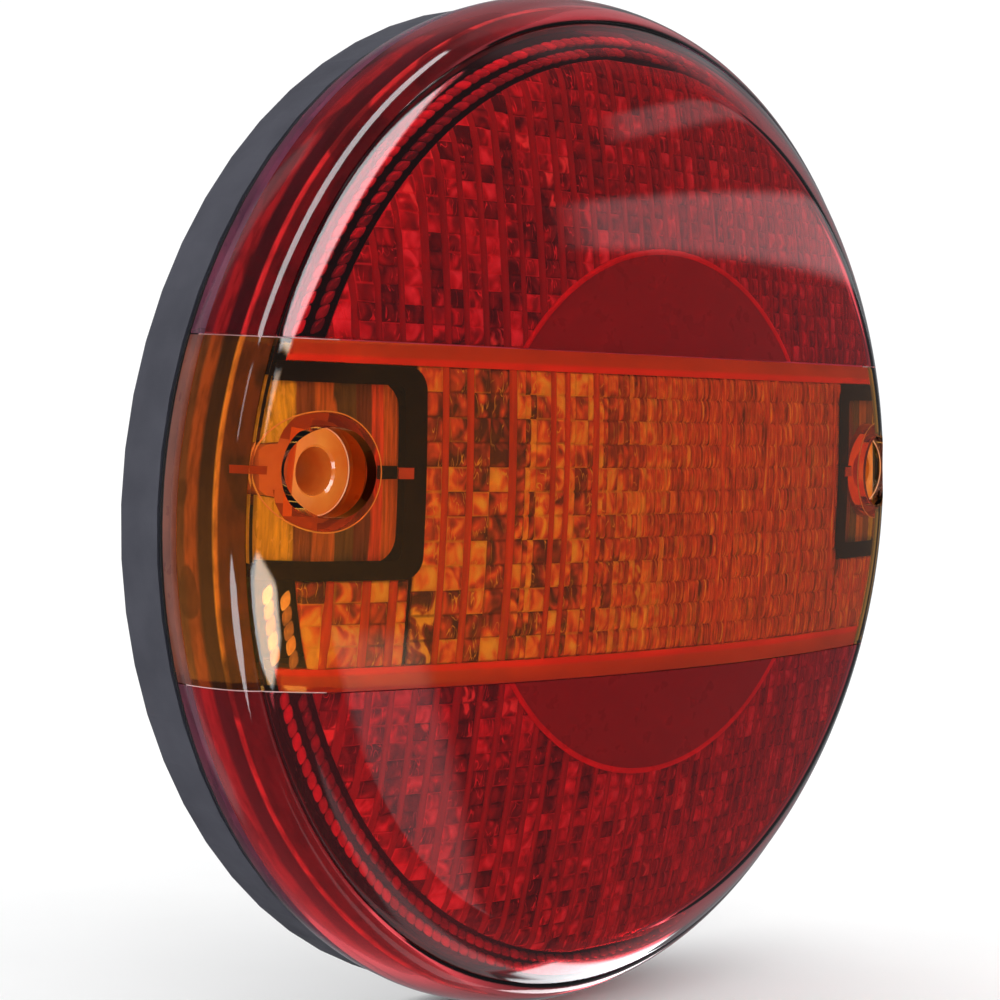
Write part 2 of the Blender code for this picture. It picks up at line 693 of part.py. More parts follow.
clear_scene()
parts = new_collection("trailer_tail_light")
cutters = new_collection("cutters")
lamp_axis = new_empty("lamp_axis")
lamp_axis.rotation_euler = (math.pi / 2, 0, 0)
lens_carrier = new_empty("lens_carrier", lamp_axis)

make_base()
make_rings()
make_screw_passages()
make_board()
make_leds()
make_baffles()
make_reflectors()
make_terminals()
make_electronics()
make_lenses()
smooth_round_parts()
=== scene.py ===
import math

import bmesh
import bpy
import numpy as np
from mathutils import Matrix, Vector


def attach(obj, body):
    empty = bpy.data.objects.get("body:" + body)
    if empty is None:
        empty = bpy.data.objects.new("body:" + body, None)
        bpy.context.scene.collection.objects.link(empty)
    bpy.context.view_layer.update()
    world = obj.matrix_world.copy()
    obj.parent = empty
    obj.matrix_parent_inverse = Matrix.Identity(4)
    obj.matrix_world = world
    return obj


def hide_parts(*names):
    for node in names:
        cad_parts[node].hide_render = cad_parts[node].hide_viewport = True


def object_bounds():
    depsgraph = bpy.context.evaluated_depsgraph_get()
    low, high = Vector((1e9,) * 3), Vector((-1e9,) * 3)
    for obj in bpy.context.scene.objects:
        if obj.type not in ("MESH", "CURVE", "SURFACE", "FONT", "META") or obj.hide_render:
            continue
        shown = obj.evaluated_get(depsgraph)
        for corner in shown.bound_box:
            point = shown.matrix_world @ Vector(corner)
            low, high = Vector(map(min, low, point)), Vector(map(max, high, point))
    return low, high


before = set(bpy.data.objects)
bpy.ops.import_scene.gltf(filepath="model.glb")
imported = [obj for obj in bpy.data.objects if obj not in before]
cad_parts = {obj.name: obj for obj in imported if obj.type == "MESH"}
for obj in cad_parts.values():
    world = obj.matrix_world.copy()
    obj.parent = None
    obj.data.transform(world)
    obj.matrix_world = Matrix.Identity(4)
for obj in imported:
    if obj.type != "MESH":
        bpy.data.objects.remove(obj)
cad_low, cad_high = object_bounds()

# Everything is in metres. Lens section: radius from the lamp's axis, depth in front of its mounting face
DOME_TOP = 0.0335
DOME_RADIUS = 0.2500
DOME_EDGE = 0.0598
CREASE = (0.0670, 0.0205)
LEDGE_START = 0.0666
SHOULDER_SWELL = math.radians(9)
SHOULDER_END = (0.0694, 0.0180)
CHAMFER_SWELL = math.radians(16)
SIDE_BULGE = (0.0709, 0.0115)
SIDE_ARC_RADIUS = 0.0148
RIM = (0.0706, 0.0090)
LEDGE_SLOPE = 0.8
FOOT_INNER = 0.0666
FOOT_TOP = 0.0105
SEAL_EDGE = 0.0692
SKIN_WALL = 0.0016
FRONT_ABOVE = 0.0160
SEAM = 0.0215
SEAM_GAP = 0.00015
LENS_SEGMENTS = 256

# Screw bosses in the lens
BOSS_X = 0.0580
BOSS_Y = 0.0054
SEAT_DEPTH = 0.0230
RECESS_RADIUS = 0.0056
BOSS_RADIUS = 0.0072
WALL_LIGHT = 0.0246
SCREW_HOLE = 0.0030
TUBE_RADIUS = 0.0050
TUBE_END = 0.0126
RIB_THICKNESS = 0.0010
NECK_START = 0.0030
NECK_END = 0.0066
NECK_WIDE = 0.0036
NECK_NARROW = 0.0030
BOSS_SEGMENTS = 96

# Moulded optics behind the lens skin
OPTICS_BACK = 0.0024
OPTICS_THICKNESS = 0.0008
SHEET_EDGE = 0.0612
STRIP_EDGE = 0.0642
DISC_RADIUS = 0.0355
STRIP_LOW = 0.0187
STRIP_HIGH = 0.0216
AMBER_HALF_WIDTH = 0.0450
AMBER_ROWS = 12
RED_ROW = 0.0023

# Black bracket round each boss and the fluted floor inside it: edge nearest the middle, half height,
# corner radius
BRACKET_OUTSIDE = (0.0440, 0.0132, 0.0028)
BRACKET_INSIDE = (0.0472, 0.0108, 0.0008)
BRACKET_FLOOR = (0.0466, 0.0113, 0.0034)
BRACKET_FLOOR_BACK = 0.0038
BRACKET_FLOOR_THICKNESS = 0.0008
BRACKET_FLOOR_END = (0.0642, 0.0196)
FRAME_GAP = 0.00020
FRAME_THICKNESS = 0.00014
FRAME_END = 0.0650

# Collar inside the side wall, plain disc and the fine ridge round it
COLLAR_TOP = 0.0195
COLLAR_THICKNESS = 0.0006
DISC_BACK = 0.00195
DISC_THICKNESS = 0.0010
RIDGE_WIDTH = 0.0004
RIDGE_HEIGHT = 0.00022

SEED = 11
SIDES = ((-1, "left"), (1, "right"))
OPEN = 1.0


# ---------------------------------------------------------------- shapes of the lens section

def lamp(x, y, depth):
    """From the lamp's own frame (right, up, out through the lens) to the row frame."""
    return (x, -depth, y)


def dome_depth(radius):
    return DOME_TOP - DOME_RADIUS + math.sqrt(DOME_RADIUS ** 2 - radius ** 2)


def arc(start, end, swell, steps):
    """Points of an arc between two points, whose ends turn away from the chord by the swell angle."""
    start, end = Vector(start), Vector(end)
    chord = end - start
    outward = Vector((-chord.y, chord.x)).normalized()
    radius = chord.length / 2 / math.sin(swell)
    points = []
    for k in range(steps + 1):
        angle = swell * (2 * k / steps - 1)
        along = 0.5 + math.sin(angle) / (2 * math.sin(swell))
        rise = radius * (math.cos(angle) - math.cos(swell))
        points.append(tuple(start + chord * along + outward * rise))
    return points


def fillet(a, b, c, reach, steps):
    """Points of a soft corner at b, which starts a given reach before it."""
    a, b, c = Vector(a), Vector(b), Vector(c)
    start = b + (a - b).normalized() * min(reach, (a - b).length * 0.45)
    end = b + (c - b).normalized() * min(reach, (c - b).length * 0.45)
    steps_along = [k / steps for k in range(steps + 1)]
    return [tuple(start * (1 - t) ** 2 + b * (2 * t * (1 - t)) + end * t ** 2) for t in steps_along]


def side_points(steps):
    centre = SIDE_BULGE[0] - SIDE_ARC_RADIUS
    points = []
    for k in range(steps + 1):
        depth = SHOULDER_END[1] + (SIDE_BULGE[1] - SHOULDER_END[1]) * k / steps
        points.append((centre + math.sqrt(SIDE_ARC_RADIUS ** 2 - (depth - SIDE_BULGE[1]) ** 2), depth))
    return points


def shoulder_points(steps):
    return arc((DOME_EDGE, dome_depth(DOME_EDGE)), CREASE, SHOULDER_SWELL, steps)


def dome_points(steps):
    return [(DOME_EDGE * k / steps, dome_depth(DOME_EDGE * k / steps)) for k in range(steps)]


def plain_profile():
    """The lens surface from its centre to the side, with sharp corners."""
    return dome_points(30) + shoulder_points(8)[:-1] + [CREASE] + side_points(8)


def outer_profile():
    """The same surface with its corners softened."""
    dome = dome_points(30)
    shoulder = shoulder_points(12)
    side = side_points(12)
    chamfer = arc(CREASE, side[0], CHAMFER_SWELL, 10)
    points = dome + fillet(dome[-1], shoulder[0], shoulder[1], 0.0006, 4)
    points += [point for point in shoulder[2:-1] if point[0] < LEDGE_START]
    top = (LEDGE_START, points[-1][1] - LEDGE_SLOPE * (LEDGE_START - points[-1][0]))
    foot = (LEDGE_START + 0.00012, CREASE[1] - 0.00005)
    points += [top, foot]
    points += fillet(foot, (CREASE[0] + 0.0001, CREASE[1] - 0.0001), chamfer[1], 0.00015, 3)
    return points + chamfer[2:-1] + side[1:]


def inset(profile, distance):
    """Moves an open profile inward by a wall thickness, mitred at its corners."""
    points = [Vector(p) for p in profile]
    normals = []
    for a, b in zip(points, points[1:]):
        along = (b - a).normalized()
        normals.append(Vector((-along.y, along.x)))
    moved = []
    for k, point in enumerate(points):
        before = normals[max(k - 1, 0)]
        after = normals[min(k, len(normals) - 1)]
        moved.append(tuple(point - distance * (before + after) / (1 + before.dot(after))))
    moved[0] = (0.0, moved[0][1])
    return moved


def inner_depth(radius):
    """Depth of the inside of the lens wall at a radius."""
    inside = [point for point in inset(plain_profile(), SKIN_WALL) if point[1] > FRONT_ABOVE]
    return float(np.interp(radius, [r for r, h in inside], [h for r, h in inside]))


def skin_profile():
    outer = outer_profile()
    rim = fillet(outer[-1], RIM, (FOOT_INNER, RIM[1]), 0.0004, 4)
    foot = [(SEAL_EDGE, RIM[1]), (FOOT_INNER, RIM[1]), (FOOT_INNER, FOOT_TOP)]
    return outer + rim + foot + inset(plain_profile(), SKIN_WALL)[::-1]


# ---------------------------------------------------------------- mesh making

def turn(profile, segments, centre=(0.0, 0.0)):
    """A bmesh of a profile of (radius, depth) turned about the lamp's axis or one beside it."""
    mesh = bmesh.new()
    rings = []
    for radius, depth in profile:
        if radius <= 0:
            rings.append([mesh.verts.new(lamp(centre[0], centre[1], depth))])
            continue
        angles = [2 * math.pi * k / segments for k in range(segments)]
        rings.append([mesh.verts.new(lamp(centre[0] + radius * math.cos(a),
                                          centre[1] + radius * math.sin(a), depth)) for a in angles])
    pairs = list(zip(rings, rings[1:]))
    if profile[0][0] > 0:
        pairs.append((rings[-1], rings[0]))
    for upper, lower in pairs:
        for k in range(segments):
            n = (k + 1) % segments
            if len(upper) == 1:
                mesh.faces.new((upper[0], lower[k], lower[n]))
            elif len(lower) == 1:
                mesh.faces.new((upper[k], lower[0], upper[n]))
            else:
                mesh.faces.new((upper[k], lower[k], lower[n], upper[n]))
    bmesh.ops.recalc_face_normals(mesh, faces=mesh.faces)
    return mesh


def prism(outline, low, high):
    """A bmesh of an outline of (x, y) points, drawn out between two depths."""
    mesh = bmesh.new()
    back = [mesh.verts.new(lamp(x, y, low)) for x, y in outline]
    front = [mesh.verts.new(lamp(x, y, high)) for x, y in outline]
    mesh.faces.new(back)
    mesh.faces.new(front)
    for k in range(len(outline)):
        n = (k + 1) % len(outline)
        mesh.faces.new((back[k], back[n], front[n], front[k]))
    bmesh.ops.recalc_face_normals(mesh, faces=mesh.faces)
    return mesh


def keep_band(mesh, low, high):
    """Cuts a closed mesh to the part between two heights, of which one may be open, and closes the cuts."""
    for height, direction in ((high, 1), (low, -1)):
        if abs(height) == OPEN:
            continue
        geometry = mesh.verts[:] + mesh.edges[:] + mesh.faces[:]
        result = bmesh.ops.bisect_plane(mesh, geom=geometry, plane_co=(0, 0, height),
                                        plane_no=(0, 0, direction), clear_outer=True)
        rim = [e for e in result["geom_cut"] if isinstance(e, bmesh.types.BMEdge)]
        bmesh.ops.edgeloop_fill(mesh, edges=rim)
    bmesh.ops.recalc_face_normals(mesh, faces=mesh.faces)


def as_object(name, mesh):
    data = bpy.data.meshes.new(name)
    mesh.to_mesh(data)
    mesh.free()
    thing = bpy.data.objects.new(name, data)
    bpy.context.scene.collection.objects.link(thing)
    return thing


def boolean(target, tool, operation):
    """Combines two meshes for good and removes the second."""
    step = target.modifiers.new("combine", "BOOLEAN")
    step.operation = operation
    step.solver = "EXACT"
    step.object = tool
    graph = bpy.context.evaluated_depsgraph_get()
    data = bpy.data.meshes.new_from_object(target.evaluated_get(graph))
    target.modifiers.clear()
    target.data = data
    bpy.data.objects.remove(tool)


def finish_piece(thing, body, materials, replaces=(), angle=35, shadow=True):
    """Gives a piece its materials and edges, and hands it to the frame."""
    thing.data.materials.clear()
    for material in materials:
        thing.data.materials.append(material)
    thing.data.shade_smooth()
    thing.data.set_sharp_from_angle(angle=math.radians(angle))
    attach(thing, body)
    if replaces:
        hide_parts(*replaces)
    thing.visible_shadow = shadow
    return thing


# ---------------------------------------------------------------- materials

def srgb(red, green, blue):
    """A colour given on the usual 0 to 255 scale, as the linear values that a shader takes."""
    def linear(value):
        value = value / 255
        return value / 12.92 if value <= 0.04045 else ((value + 0.055) / 1.055) ** 2.4
    return (linear(red), linear(green), linear(blue), 1.0)


RED_TINT = (0.95, 0.09, 0.11, 1.0)
AMBER_TINT = (1.0, 0.46, 0.07, 1.0)


def behind(tint, red, green, blue):
    """The colour that something needs so that it looks like this through a tinted lens."""
    wanted = srgb(red, green, blue)
    return tuple(min(1.0, value / glass) for value, glass in zip(wanted[:3], tint)) + (1.0,)


def start_material(name, **values):
    """A new material, its node tree and its shader, with constant values set on the shader's sockets."""
    material = bpy.data.materials.new(name)
    material.use_nodes = True
    shader = material.node_tree.nodes["Principled BSDF"]
    for label, value in values.items():
        shader.inputs[label.replace("_", " ")].default_value = value
    return material, material.node_tree, shader


def node(tree, kind, inputs=None, **settings):
    """Adds a shader node. Inputs are values or other nodes' outputs, by socket name or number."""
    made = tree.nodes.new("ShaderNode" + kind)
    for key, value in settings.items():
        setattr(made, key, value)
    for key, value in (inputs or {}).items():
        if isinstance(value, bpy.types.NodeSocket):
            tree.links.new(value, made.inputs[key])
        else:
            made.inputs[key].default_value = value
    return made


def feed(tree, value, shader, label="Base Color"):
    tree.links.new(value, shader.inputs[label])


def maths(tree, operation, *values):
    return node(tree, "Math", dict(enumerate(values)), operation=operation).outputs[0]


def product(tree, first, second):
    return maths(tree, "MULTIPLY", first, second)


def swing(tree, value, amount):
    """A value between 0 and 1, turned into one that swings about zero."""
    return product(tree, maths(tree, "SUBTRACT", value, 0.5), amount)


def remap(tree, value, low, high, to_low=0.0, to_high=1.0, kind="LINEAR"):
    """A value moved from one range to another, and held at the ends."""
    inputs = {"Value": value, "From Min": low, "From Max": high, "To Min": to_low, "To Max": to_high}
    return node(tree, "MapRange", inputs, interpolation_type=kind).outputs[0]


def ramp(tree, factor, stops):
    """A colour ramp. Stops are (position, colour)."""
    made = node(tree, "ValToRGB", {0: factor})
    band = made.color_ramp
    while len(band.elements) < len(stops):
        band.elements.new(0.5)
    for element, (position, colour) in zip(band.elements, stops):
        element.position = position
        element.color = colour
    return made.outputs["Color"]


def mix(tree, factor, first, second, blend="MIX"):
    inputs = {"Factor": factor, 6: first, 7: second}
    return node(tree, "Mix", inputs, data_type="RGBA", blend_type=blend).outputs[2]


def place(tree, scale=(1, 1, 1)):
    """The point on the piece in millimetres, stretched by a scale."""
    coordinates = node(tree, "TexCoord").outputs["Object"]
    factors = [1000 * s for s in scale]
    return node(tree, "VectorMath", {0: coordinates, 1: factors}, operation="MULTIPLY").outputs[0]


def axes(tree):
    """The three coordinates of the point on the piece, in millimetres."""
    return node(tree, "SeparateXYZ", {0: place(tree)}).outputs


def noise(tree, vector, scale, detail=2.0, distortion=0.0, offset=None):
    inputs = {"Vector": vector, "Scale": scale, "Detail": detail, "Distortion": distortion}
    if offset is None:
        return node(tree, "TexNoise", inputs).outputs["Fac"]
    inputs["W"] = offset
    return node(tree, "TexNoise", inputs, noise_dimensions="4D").outputs["Fac"]


def bump(tree, shader, height, distance, strength=1.0):
    made = node(tree, "Bump", {"Height": height, "Distance": distance, "Strength": strength})
    feed(tree, made.outputs[0], shader, "Normal")


def lens_glass(name, colour, mirror=0.5, bending=1.49):
    """Clear tinted polycarbonate with a faint haze. Mirror is how strongly the surface reflects."""
    material, tree, shader = start_material(name, Transmission_Weight=1.0, IOR=bending,
                                            Specular_IOR_Level=mirror)
    spots = noise(tree, place(tree), 0.9, detail=6)
    deeper = tuple(c * 0.97 for c in colour[:3]) + (1,)
    feed(tree, ramp(tree, spots, [(0.35, colour), (0.75, deeper)]), shader)
    haze = noise(tree, place(tree, (1, 1, 0.4)), 0.35, detail=3)
    feed(tree, remap(tree, haze, 0.3, 0.8, 0.0, 0.03), shader, "Roughness")
    return material


def boss_plastic(name, light, deep):
    """Thick moulded amber, which glows instead of showing what is behind it."""
    material, tree, shader = start_material(name, Transmission_Weight=0.15, IOR=1.49, Roughness=0.14,
                                            Coat_Weight=0.5, Coat_Roughness=0.04)
    cloud = noise(tree, place(tree), 0.22, detail=3)
    feed(tree, ramp(tree, cloud, [(0.3, deep), (0.65, light)]), shader)
    bump(tree, shader, noise(tree, place(tree), 0.6, detail=2), 0.00003)
    return material


# The floor inside a bracket: where each stripe starts and ends, in millimetres out from the lamp's
# middle, and how it looks through the lens. The bright gold stripe at the rim is a painted glint.
FLOOR_STRIPES = (
    (46.0, 48.6, (238, 110, 48)),
    (48.8, 50.3, (246, 80, 48)),
    (50.5, 52.6, (122, 54, 36)),
    (52.8, 55.2, (104, 72, 38)),
    (55.4, 58.0, (232, 118, 50)),
    (58.2, 60.5, (152, 78, 40)),
    (60.8, 65.0, (250, 182, 46)),
)


def stripe_floor():
    """The floor inside the bracket: upright stripes from gold at the rim to red-orange at the bracket, with
    painted gold glints near the rim.
    """
    material, tree, shader = start_material("stripe_floor", Roughness=0.2, Coat_Weight=0.4)
    first, last = FLOOR_STRIPES[0][0], FLOOR_STRIPES[-1][1]
    wander = swing(tree, noise(tree, place(tree, (1, 1, 0.3)), 0.5), 0.7)
    out = maths(tree, "ADD", maths(tree, "ABSOLUTE", axes(tree)["X"]), wander)
    stops = []
    for low, high, look in FLOOR_STRIPES:
        for edge in (low, high):
            stops.append(((edge - first) / (last - first), behind(AMBER_TINT, *look)))
    colour = ramp(tree, remap(tree, out, first, last), stops)
    streak = noise(tree, place(tree, (2.2, 1, 0.12)), 1.0, detail=3)
    dim = ramp(tree, streak, [(0.32, (0.6, 0.6, 0.6, 1)), (0.62, (1.15, 1.15, 1.15, 1))])
    shaded = mix(tree, 1.0, colour, dim, "MULTIPLY")
    # Painted glints: bright gold spots near the rim.
    spots = noise(tree, place(tree, (0.9, 1, 0.5)), 1.0, detail=2, distortion=1.0)
    rim_side = maths(tree, "GREATER_THAN", out, 60.6)
    bright = product(tree, remap(tree, spots, 0.56, 0.62), rim_side)
    feed(tree, mix(tree, bright, shaded, behind(AMBER_TINT, 250, 200, 60)), shader)
    bump(tree, shader, streak, 0.0003)
    return material


def cell_parts(tree):
    """What each moulded cell carries: three random numbers, and its own across, up and kind."""
    cell = node(tree, "Attribute", attribute_name="cell").outputs["Vector"]
    inside = node(tree, "Attribute", attribute_name="inside").outputs["Vector"]
    chance = node(tree, "SeparateXYZ", {0: cell}).outputs
    local = node(tree, "SeparateXYZ", {0: inside}).outputs
    return chance, local


def optics_front(name, window_stops, strip_stops, fine_stops, fineness, highlight_line_colour, glint_colour):
    """The prisms seen through the lens: each cell shows its own scrambled patches of painted light and
    shade.
    """
    material, tree, shader = start_material(name, Roughness=0.18, IOR=1.49, Coat_Weight=0.4,
                                            Coat_Roughness=0.05)
    chance, local = cell_parts(tree)
    jump = product(tree, chance[0], 60.0)
    across, up, kind = local
    patches = noise(tree, place(tree, (0.36, 0, 0.24)), 1.0, detail=1.2, distortion=1.3, offset=jump)
    level = maths(tree, "ADD", patches, swing(tree, chance[1], 0.34))
    colour = ramp(tree, level, window_stops)
    # Painted highlight lines: thin bright lines through the cells.
    thin = noise(tree, place(tree, (0.85, 0, 0.20)), 1.0, detail=1, distortion=1.1, offset=jump)
    wire = maths(tree, "ABSOLUTE", maths(tree, "SUBTRACT", thin, 0.5))
    highlight_lines = remap(tree, wire, 0.0, 0.022, 1.0, 0.0, "SMOOTHSTEP")
    warp = noise(tree, place(tree, (0.4, 0, 0.25)), 1.0, detail=1, distortion=0.8, offset=jump)
    gate = remap(tree, warp, 0.47, 0.60)
    colour = mix(tree, product(tree, highlight_lines, gate), colour, highlight_line_colour)
    # Painted glints in a few rare cells.
    rare = maths(tree, "GREATER_THAN", chance[2], 0.955)
    hot = remap(tree, patches, 0.52, 0.60)
    colour = mix(tree, product(tree, hot, rare), colour, glint_colour)
    # Cell borders, painted dark or in the highlight line colour.
    border = maths(tree, "MINIMUM", maths(tree, "MINIMUM", across, maths(tree, "SUBTRACT", 1.0, across)),
                   maths(tree, "MINIMUM", up, maths(tree, "SUBTRACT", 1.0, up)))
    edge = remap(tree, border, 0.02, 0.09, 0.55, 0.0)
    outline = ramp(tree, chance[1], [(0.45, window_stops[0][1]), (0.55, highlight_line_colour)])
    colour = mix(tree, edge, colour, outline)
    streak = noise(tree, place(tree, (1.1, 0, 0.06)), 1.0, detail=2)
    colour = mix(tree, kind, colour, ramp(tree, streak, strip_stops))
    fine = noise(tree, place(tree, (2.4, 0, 0.17)), 1.0, detail=2, distortion=0.7, offset=jump)
    share = remap(tree, axes(tree)["X"], -26.0, 12.0, 0.0, fineness, "SMOOTHSTEP")
    feed(tree, mix(tree, share, colour, ramp(tree, fine, fine_stops)), shader)
    ripple = noise(tree, place(tree, (0.9, 0, 0.5)), 1.3, detail=1, offset=jump)
    bump(tree, shader, ripple, 0.0004, 0.6)
    return material


def moulded(name, colour, deeper, roughness=0.3, metal=0.0, grain=2.0, depth=0.00002, shine=0.5):
    """A moulded, painted or plated surface with slight mottling, fine texture and uneven gloss."""
    material, tree, shader = start_material(name, Metallic=metal, Specular_IOR_Level=shine)
    spots = noise(tree, place(tree), 0.12, detail=5)
    feed(tree, ramp(tree, spots, [(0.35, deeper), (0.65, colour)]), shader)
    gloss = noise(tree, place(tree), 0.35, detail=4)
    feed(tree, remap(tree, gloss, 0.3, 0.7, roughness - 0.05, roughness + 0.05), shader, "Roughness")
    bump(tree, shader, noise(tree, place(tree), grain, detail=3), depth)
    return material


def board_material():
    """Green solder mask with paler tracks under it and small specks of tin."""
    material, tree, shader = start_material("solder_mask", Roughness=0.35, Coat_Weight=0.5,
                                            Coat_Roughness=0.1)
    cells = node(tree, "TexVoronoi", {"Vector": place(tree), "Scale": 0.28}, feature="DISTANCE_TO_EDGE")
    track = remap(tree, cells.outputs["Distance"], 0.05, 0.09, 1.0, 0.0)
    cloud = noise(tree, place(tree), 0.15, detail=4)
    mask = ramp(tree, cloud, [(0.3, srgb(16, 84, 48)), (0.7, srgb(24, 104, 60))])
    colour = mix(tree, track, mask, srgb(44, 138, 80))
    tin = maths(tree, "GREATER_THAN", noise(tree, place(tree), 0.9, detail=1), 0.74)
    feed(tree, mix(tree, tin, colour, srgb(190, 190, 186)), shader)
    feed(tree, tin, shader, "Metallic")
    bump(tree, shader, track, 0.00004)
    return material


# Looks of the parts that stay as the frame has them: colour, deeper colour, roughness, metal, grain
CAD_LOOKS = {
    "base_housing": ((72, 73, 84), (62, 63, 74), 0.55, 0.0, 6.0),
    "lens_seal": ((30, 30, 31), (22, 22, 23), 0.7, 0.0, 3.0),
    "cable_grommet": ((30, 30, 31), (22, 22, 23), 0.7, 0.0, 3.0),
    "post_seal": ((30, 30, 31), (22, 22, 23), 0.7, 0.0, 3.0),
    "mounting_gasket": ((40, 40, 42), (24, 24, 26), 0.95, 0.0, 4.0),
    "compression_sleeve": ((198, 196, 186), (176, 176, 172), 0.3, 1.0, 2.0),
    "board_screw": ((205, 205, 206), (170, 170, 172), 0.28, 1.0, 2.0),
    "light_baffle": ((222, 221, 215), (206, 205, 198), 0.45, 0.0, 2.0),
    "reflector": ((232, 232, 236), (214, 214, 220), 0.12, 1.0, 0.5),
    "terminal_block": ((152, 156, 158), (134, 138, 140), 0.5, 0.0, 2.0),
    "terminal_screw": ((214, 176, 106), (186, 146, 80), 0.3, 1.0, 2.0),
    "driver_chip": ((30, 30, 31), (20, 20, 21), 0.45, 0.0, 8.0),
    "protection_diode": ((30, 30, 31), (20, 20, 21), 0.45, 0.0, 8.0),
    "load_resistor": ((222, 220, 212), (200, 197, 188), 0.55, 0.0, 5.0),
    "filter_capacitor": ((206, 208, 212), (184, 186, 190), 0.25, 1.0, 2.0),
    "red_led": ((214, 34, 32), (186, 22, 24), 0.1, 0.0, 2.0),
    "amber_led": ((240, 156, 44), (226, 132, 30), 0.1, 0.0, 2.0),
}


def dress_cad_nodes(black):
    """Procedural looks for the parts that stay as the frame has them."""
    looks = {"screw_shield": black, "circuit_board": board_material()}
    for start, (colour, deeper, roughness, metal, grain) in CAD_LOOKS.items():
        depth = 0.0001 if start == "mounting_gasket" else 0.00002
        looks[start] = moulded(start + "_look", srgb(*colour), srgb(*deeper), roughness, metal, grain,
                               depth)
    for name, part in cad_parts.items():
        for start, material in looks.items():
            if name.startswith(start):
                part.data.materials.clear()
                part.data.materials.append(material)


def bead_material(name, stops, glow):
    """Bead prisms: each one catches a different share of the light and throws it forward."""
    material, tree, shader = start_material(name, Roughness=0.2, Coat_Weight=0.5, Coat_Roughness=0.05,
                                            Emission_Strength=glow)
    chance = cell_parts(tree)[0]
    spots = noise(tree, place(tree), 0.8, detail=1)
    level = maths(tree, "ADD", product(tree, chance[0], 0.4), product(tree, spots, 0.3))
    level = maths(tree, "ADD", level, product(tree, chance[1], 0.3))
    colour = ramp(tree, level, stops)
    feed(tree, colour, shader)
    # Painted glint: the emission makes the beads glow, though they are no lamp.
    feed(tree, colour, shader, "Emission Color")
    return material


# Stripes of painted light and shade inside the side wall, for reflections, highlight lines and dark bands:
# depth in millimetres, and colour
SIDE_LIGHT_STRIPES = (
    (9.0, (0.50, 0.30, 0.40)), (10.4, (0.50, 0.30, 0.40)), (11.0, (0.17, 0.12, 0.20)),
    (12.4, (0.17, 0.12, 0.20)), (12.8, (0.46, 0.21, 0.22)), (14.2, (0.40, 0.18, 0.19)),
    (14.7, (0.040, 0.035, 0.07)), (16.3, (0.045, 0.035, 0.06)), (16.5, (0.95, 0.85, 0.70)),
    (16.9, (0.80, 0.55, 0.50)), (17.1, (0.13, 0.06, 0.07)), (20.5, (0.12, 0.05, 0.06)),
)


def collar_material():
    """Stripes of painted reflection and shade round inside the side wall, brighter and darker by depth,
    broken up a little.
    """
    material, tree, shader = start_material("side_stripes", Roughness=0.3)
    point = axes(tree)
    low, high = 9.0, 21.0
    wander = swing(tree, noise(tree, place(tree), 0.03, detail=1), 0.7)
    depth = maths(tree, "ADD", product(tree, point["Y"], -1.0), wander)
    stops = [((h - low) / (high - low), (*colour, 1.0)) for h, colour in SIDE_LIGHT_STRIPES]
    colour = ramp(tree, remap(tree, depth, low, high), stops)
    blocks = noise(tree, place(tree, (0.11, 0.25, 0.11)), 1.0, detail=0)
    dark_blocks = remap(tree, blocks, 0.40, 0.44, 0.75, 0.0)
    colour = mix(tree, dark_blocks, colour, (0.05, 0.035, 0.045, 1.0))
    mottle = noise(tree, place(tree, (0.25, 1.2, 0.25)), 1.0, detail=3)
    dim = ramp(tree, mottle, [(0.35, (0.55, 0.55, 0.55, 1)), (0.6, (1.1, 1.1, 1.1, 1))])
    shaded = mix(tree, 1.0, colour, dim, "MULTIPLY")
    # Painted shade: the stripes fade to dark towards the lamp's right side.
    left = remap(tree, point["X"], -20.0, 30.0, 1.0, 0.0)
    feed(tree, mix(tree, left, (0.07, 0.04, 0.05, 1.0), shaded), shader)
    return material


def strip_material():
    """The smooth bands: red-orange, a little brighter along the prisms' edge."""
    material, tree, shader = start_material("plain_band", Roughness=0.25)
    height = remap(tree, maths(tree, "ABSOLUTE", axes(tree)["Z"]), 1000 * STRIP_LOW, 1000 * STRIP_HIGH)
    base = ramp(tree, height, [(0.0, srgb(246, 66, 108)), (0.22, srgb(242, 62, 108)),
                               (0.36, srgb(210, 84, 110)), (1.0, srgb(192, 80, 104))])
    cloud = noise(tree, place(tree, (0.1, 1, 0.4)), 0.5, detail=2)
    dim = ramp(tree, cloud, [(0.3, (0.85, 0.85, 0.85, 1)), (0.7, (1.1, 1.1, 1.1, 1))])
    feed(tree, mix(tree, 1.0, base, dim, "MULTIPLY"), shader)
    return material


# ---------------------------------------------------------------- lens skins

def under_skin(gap):
    """The lamp filled in under its lens wall, a small gap below it."""
    profile = inset(plain_profile(), SKIN_WALL + gap) + [(RIM[0] - 0.002, 0.0005), (0.0, 0.0005)]
    return as_object("inside", turn(profile, LENS_SEGMENTS))


def boss_solid(side, grow):
    """One screw boss before its recess and hole are cut, grown by a little if need be."""
    wall = BOSS_RADIUS + grow
    tube = TUBE_RADIUS + grow
    profile = [(0.0, 0.034), (wall, 0.034), (wall, WALL_LIGHT), (wall, SEAT_DEPTH - 0.0006),
               (wall - 0.0006, SEAT_DEPTH - 0.0012),
               (tube, SEAT_DEPTH - 0.0019), (tube, TUBE_END + 0.0003), (tube - 0.0003, TUBE_END),
               (0.0, TUBE_END)]
    return turn(profile, BOSS_SEGMENTS, (side * BOSS_X, BOSS_Y))


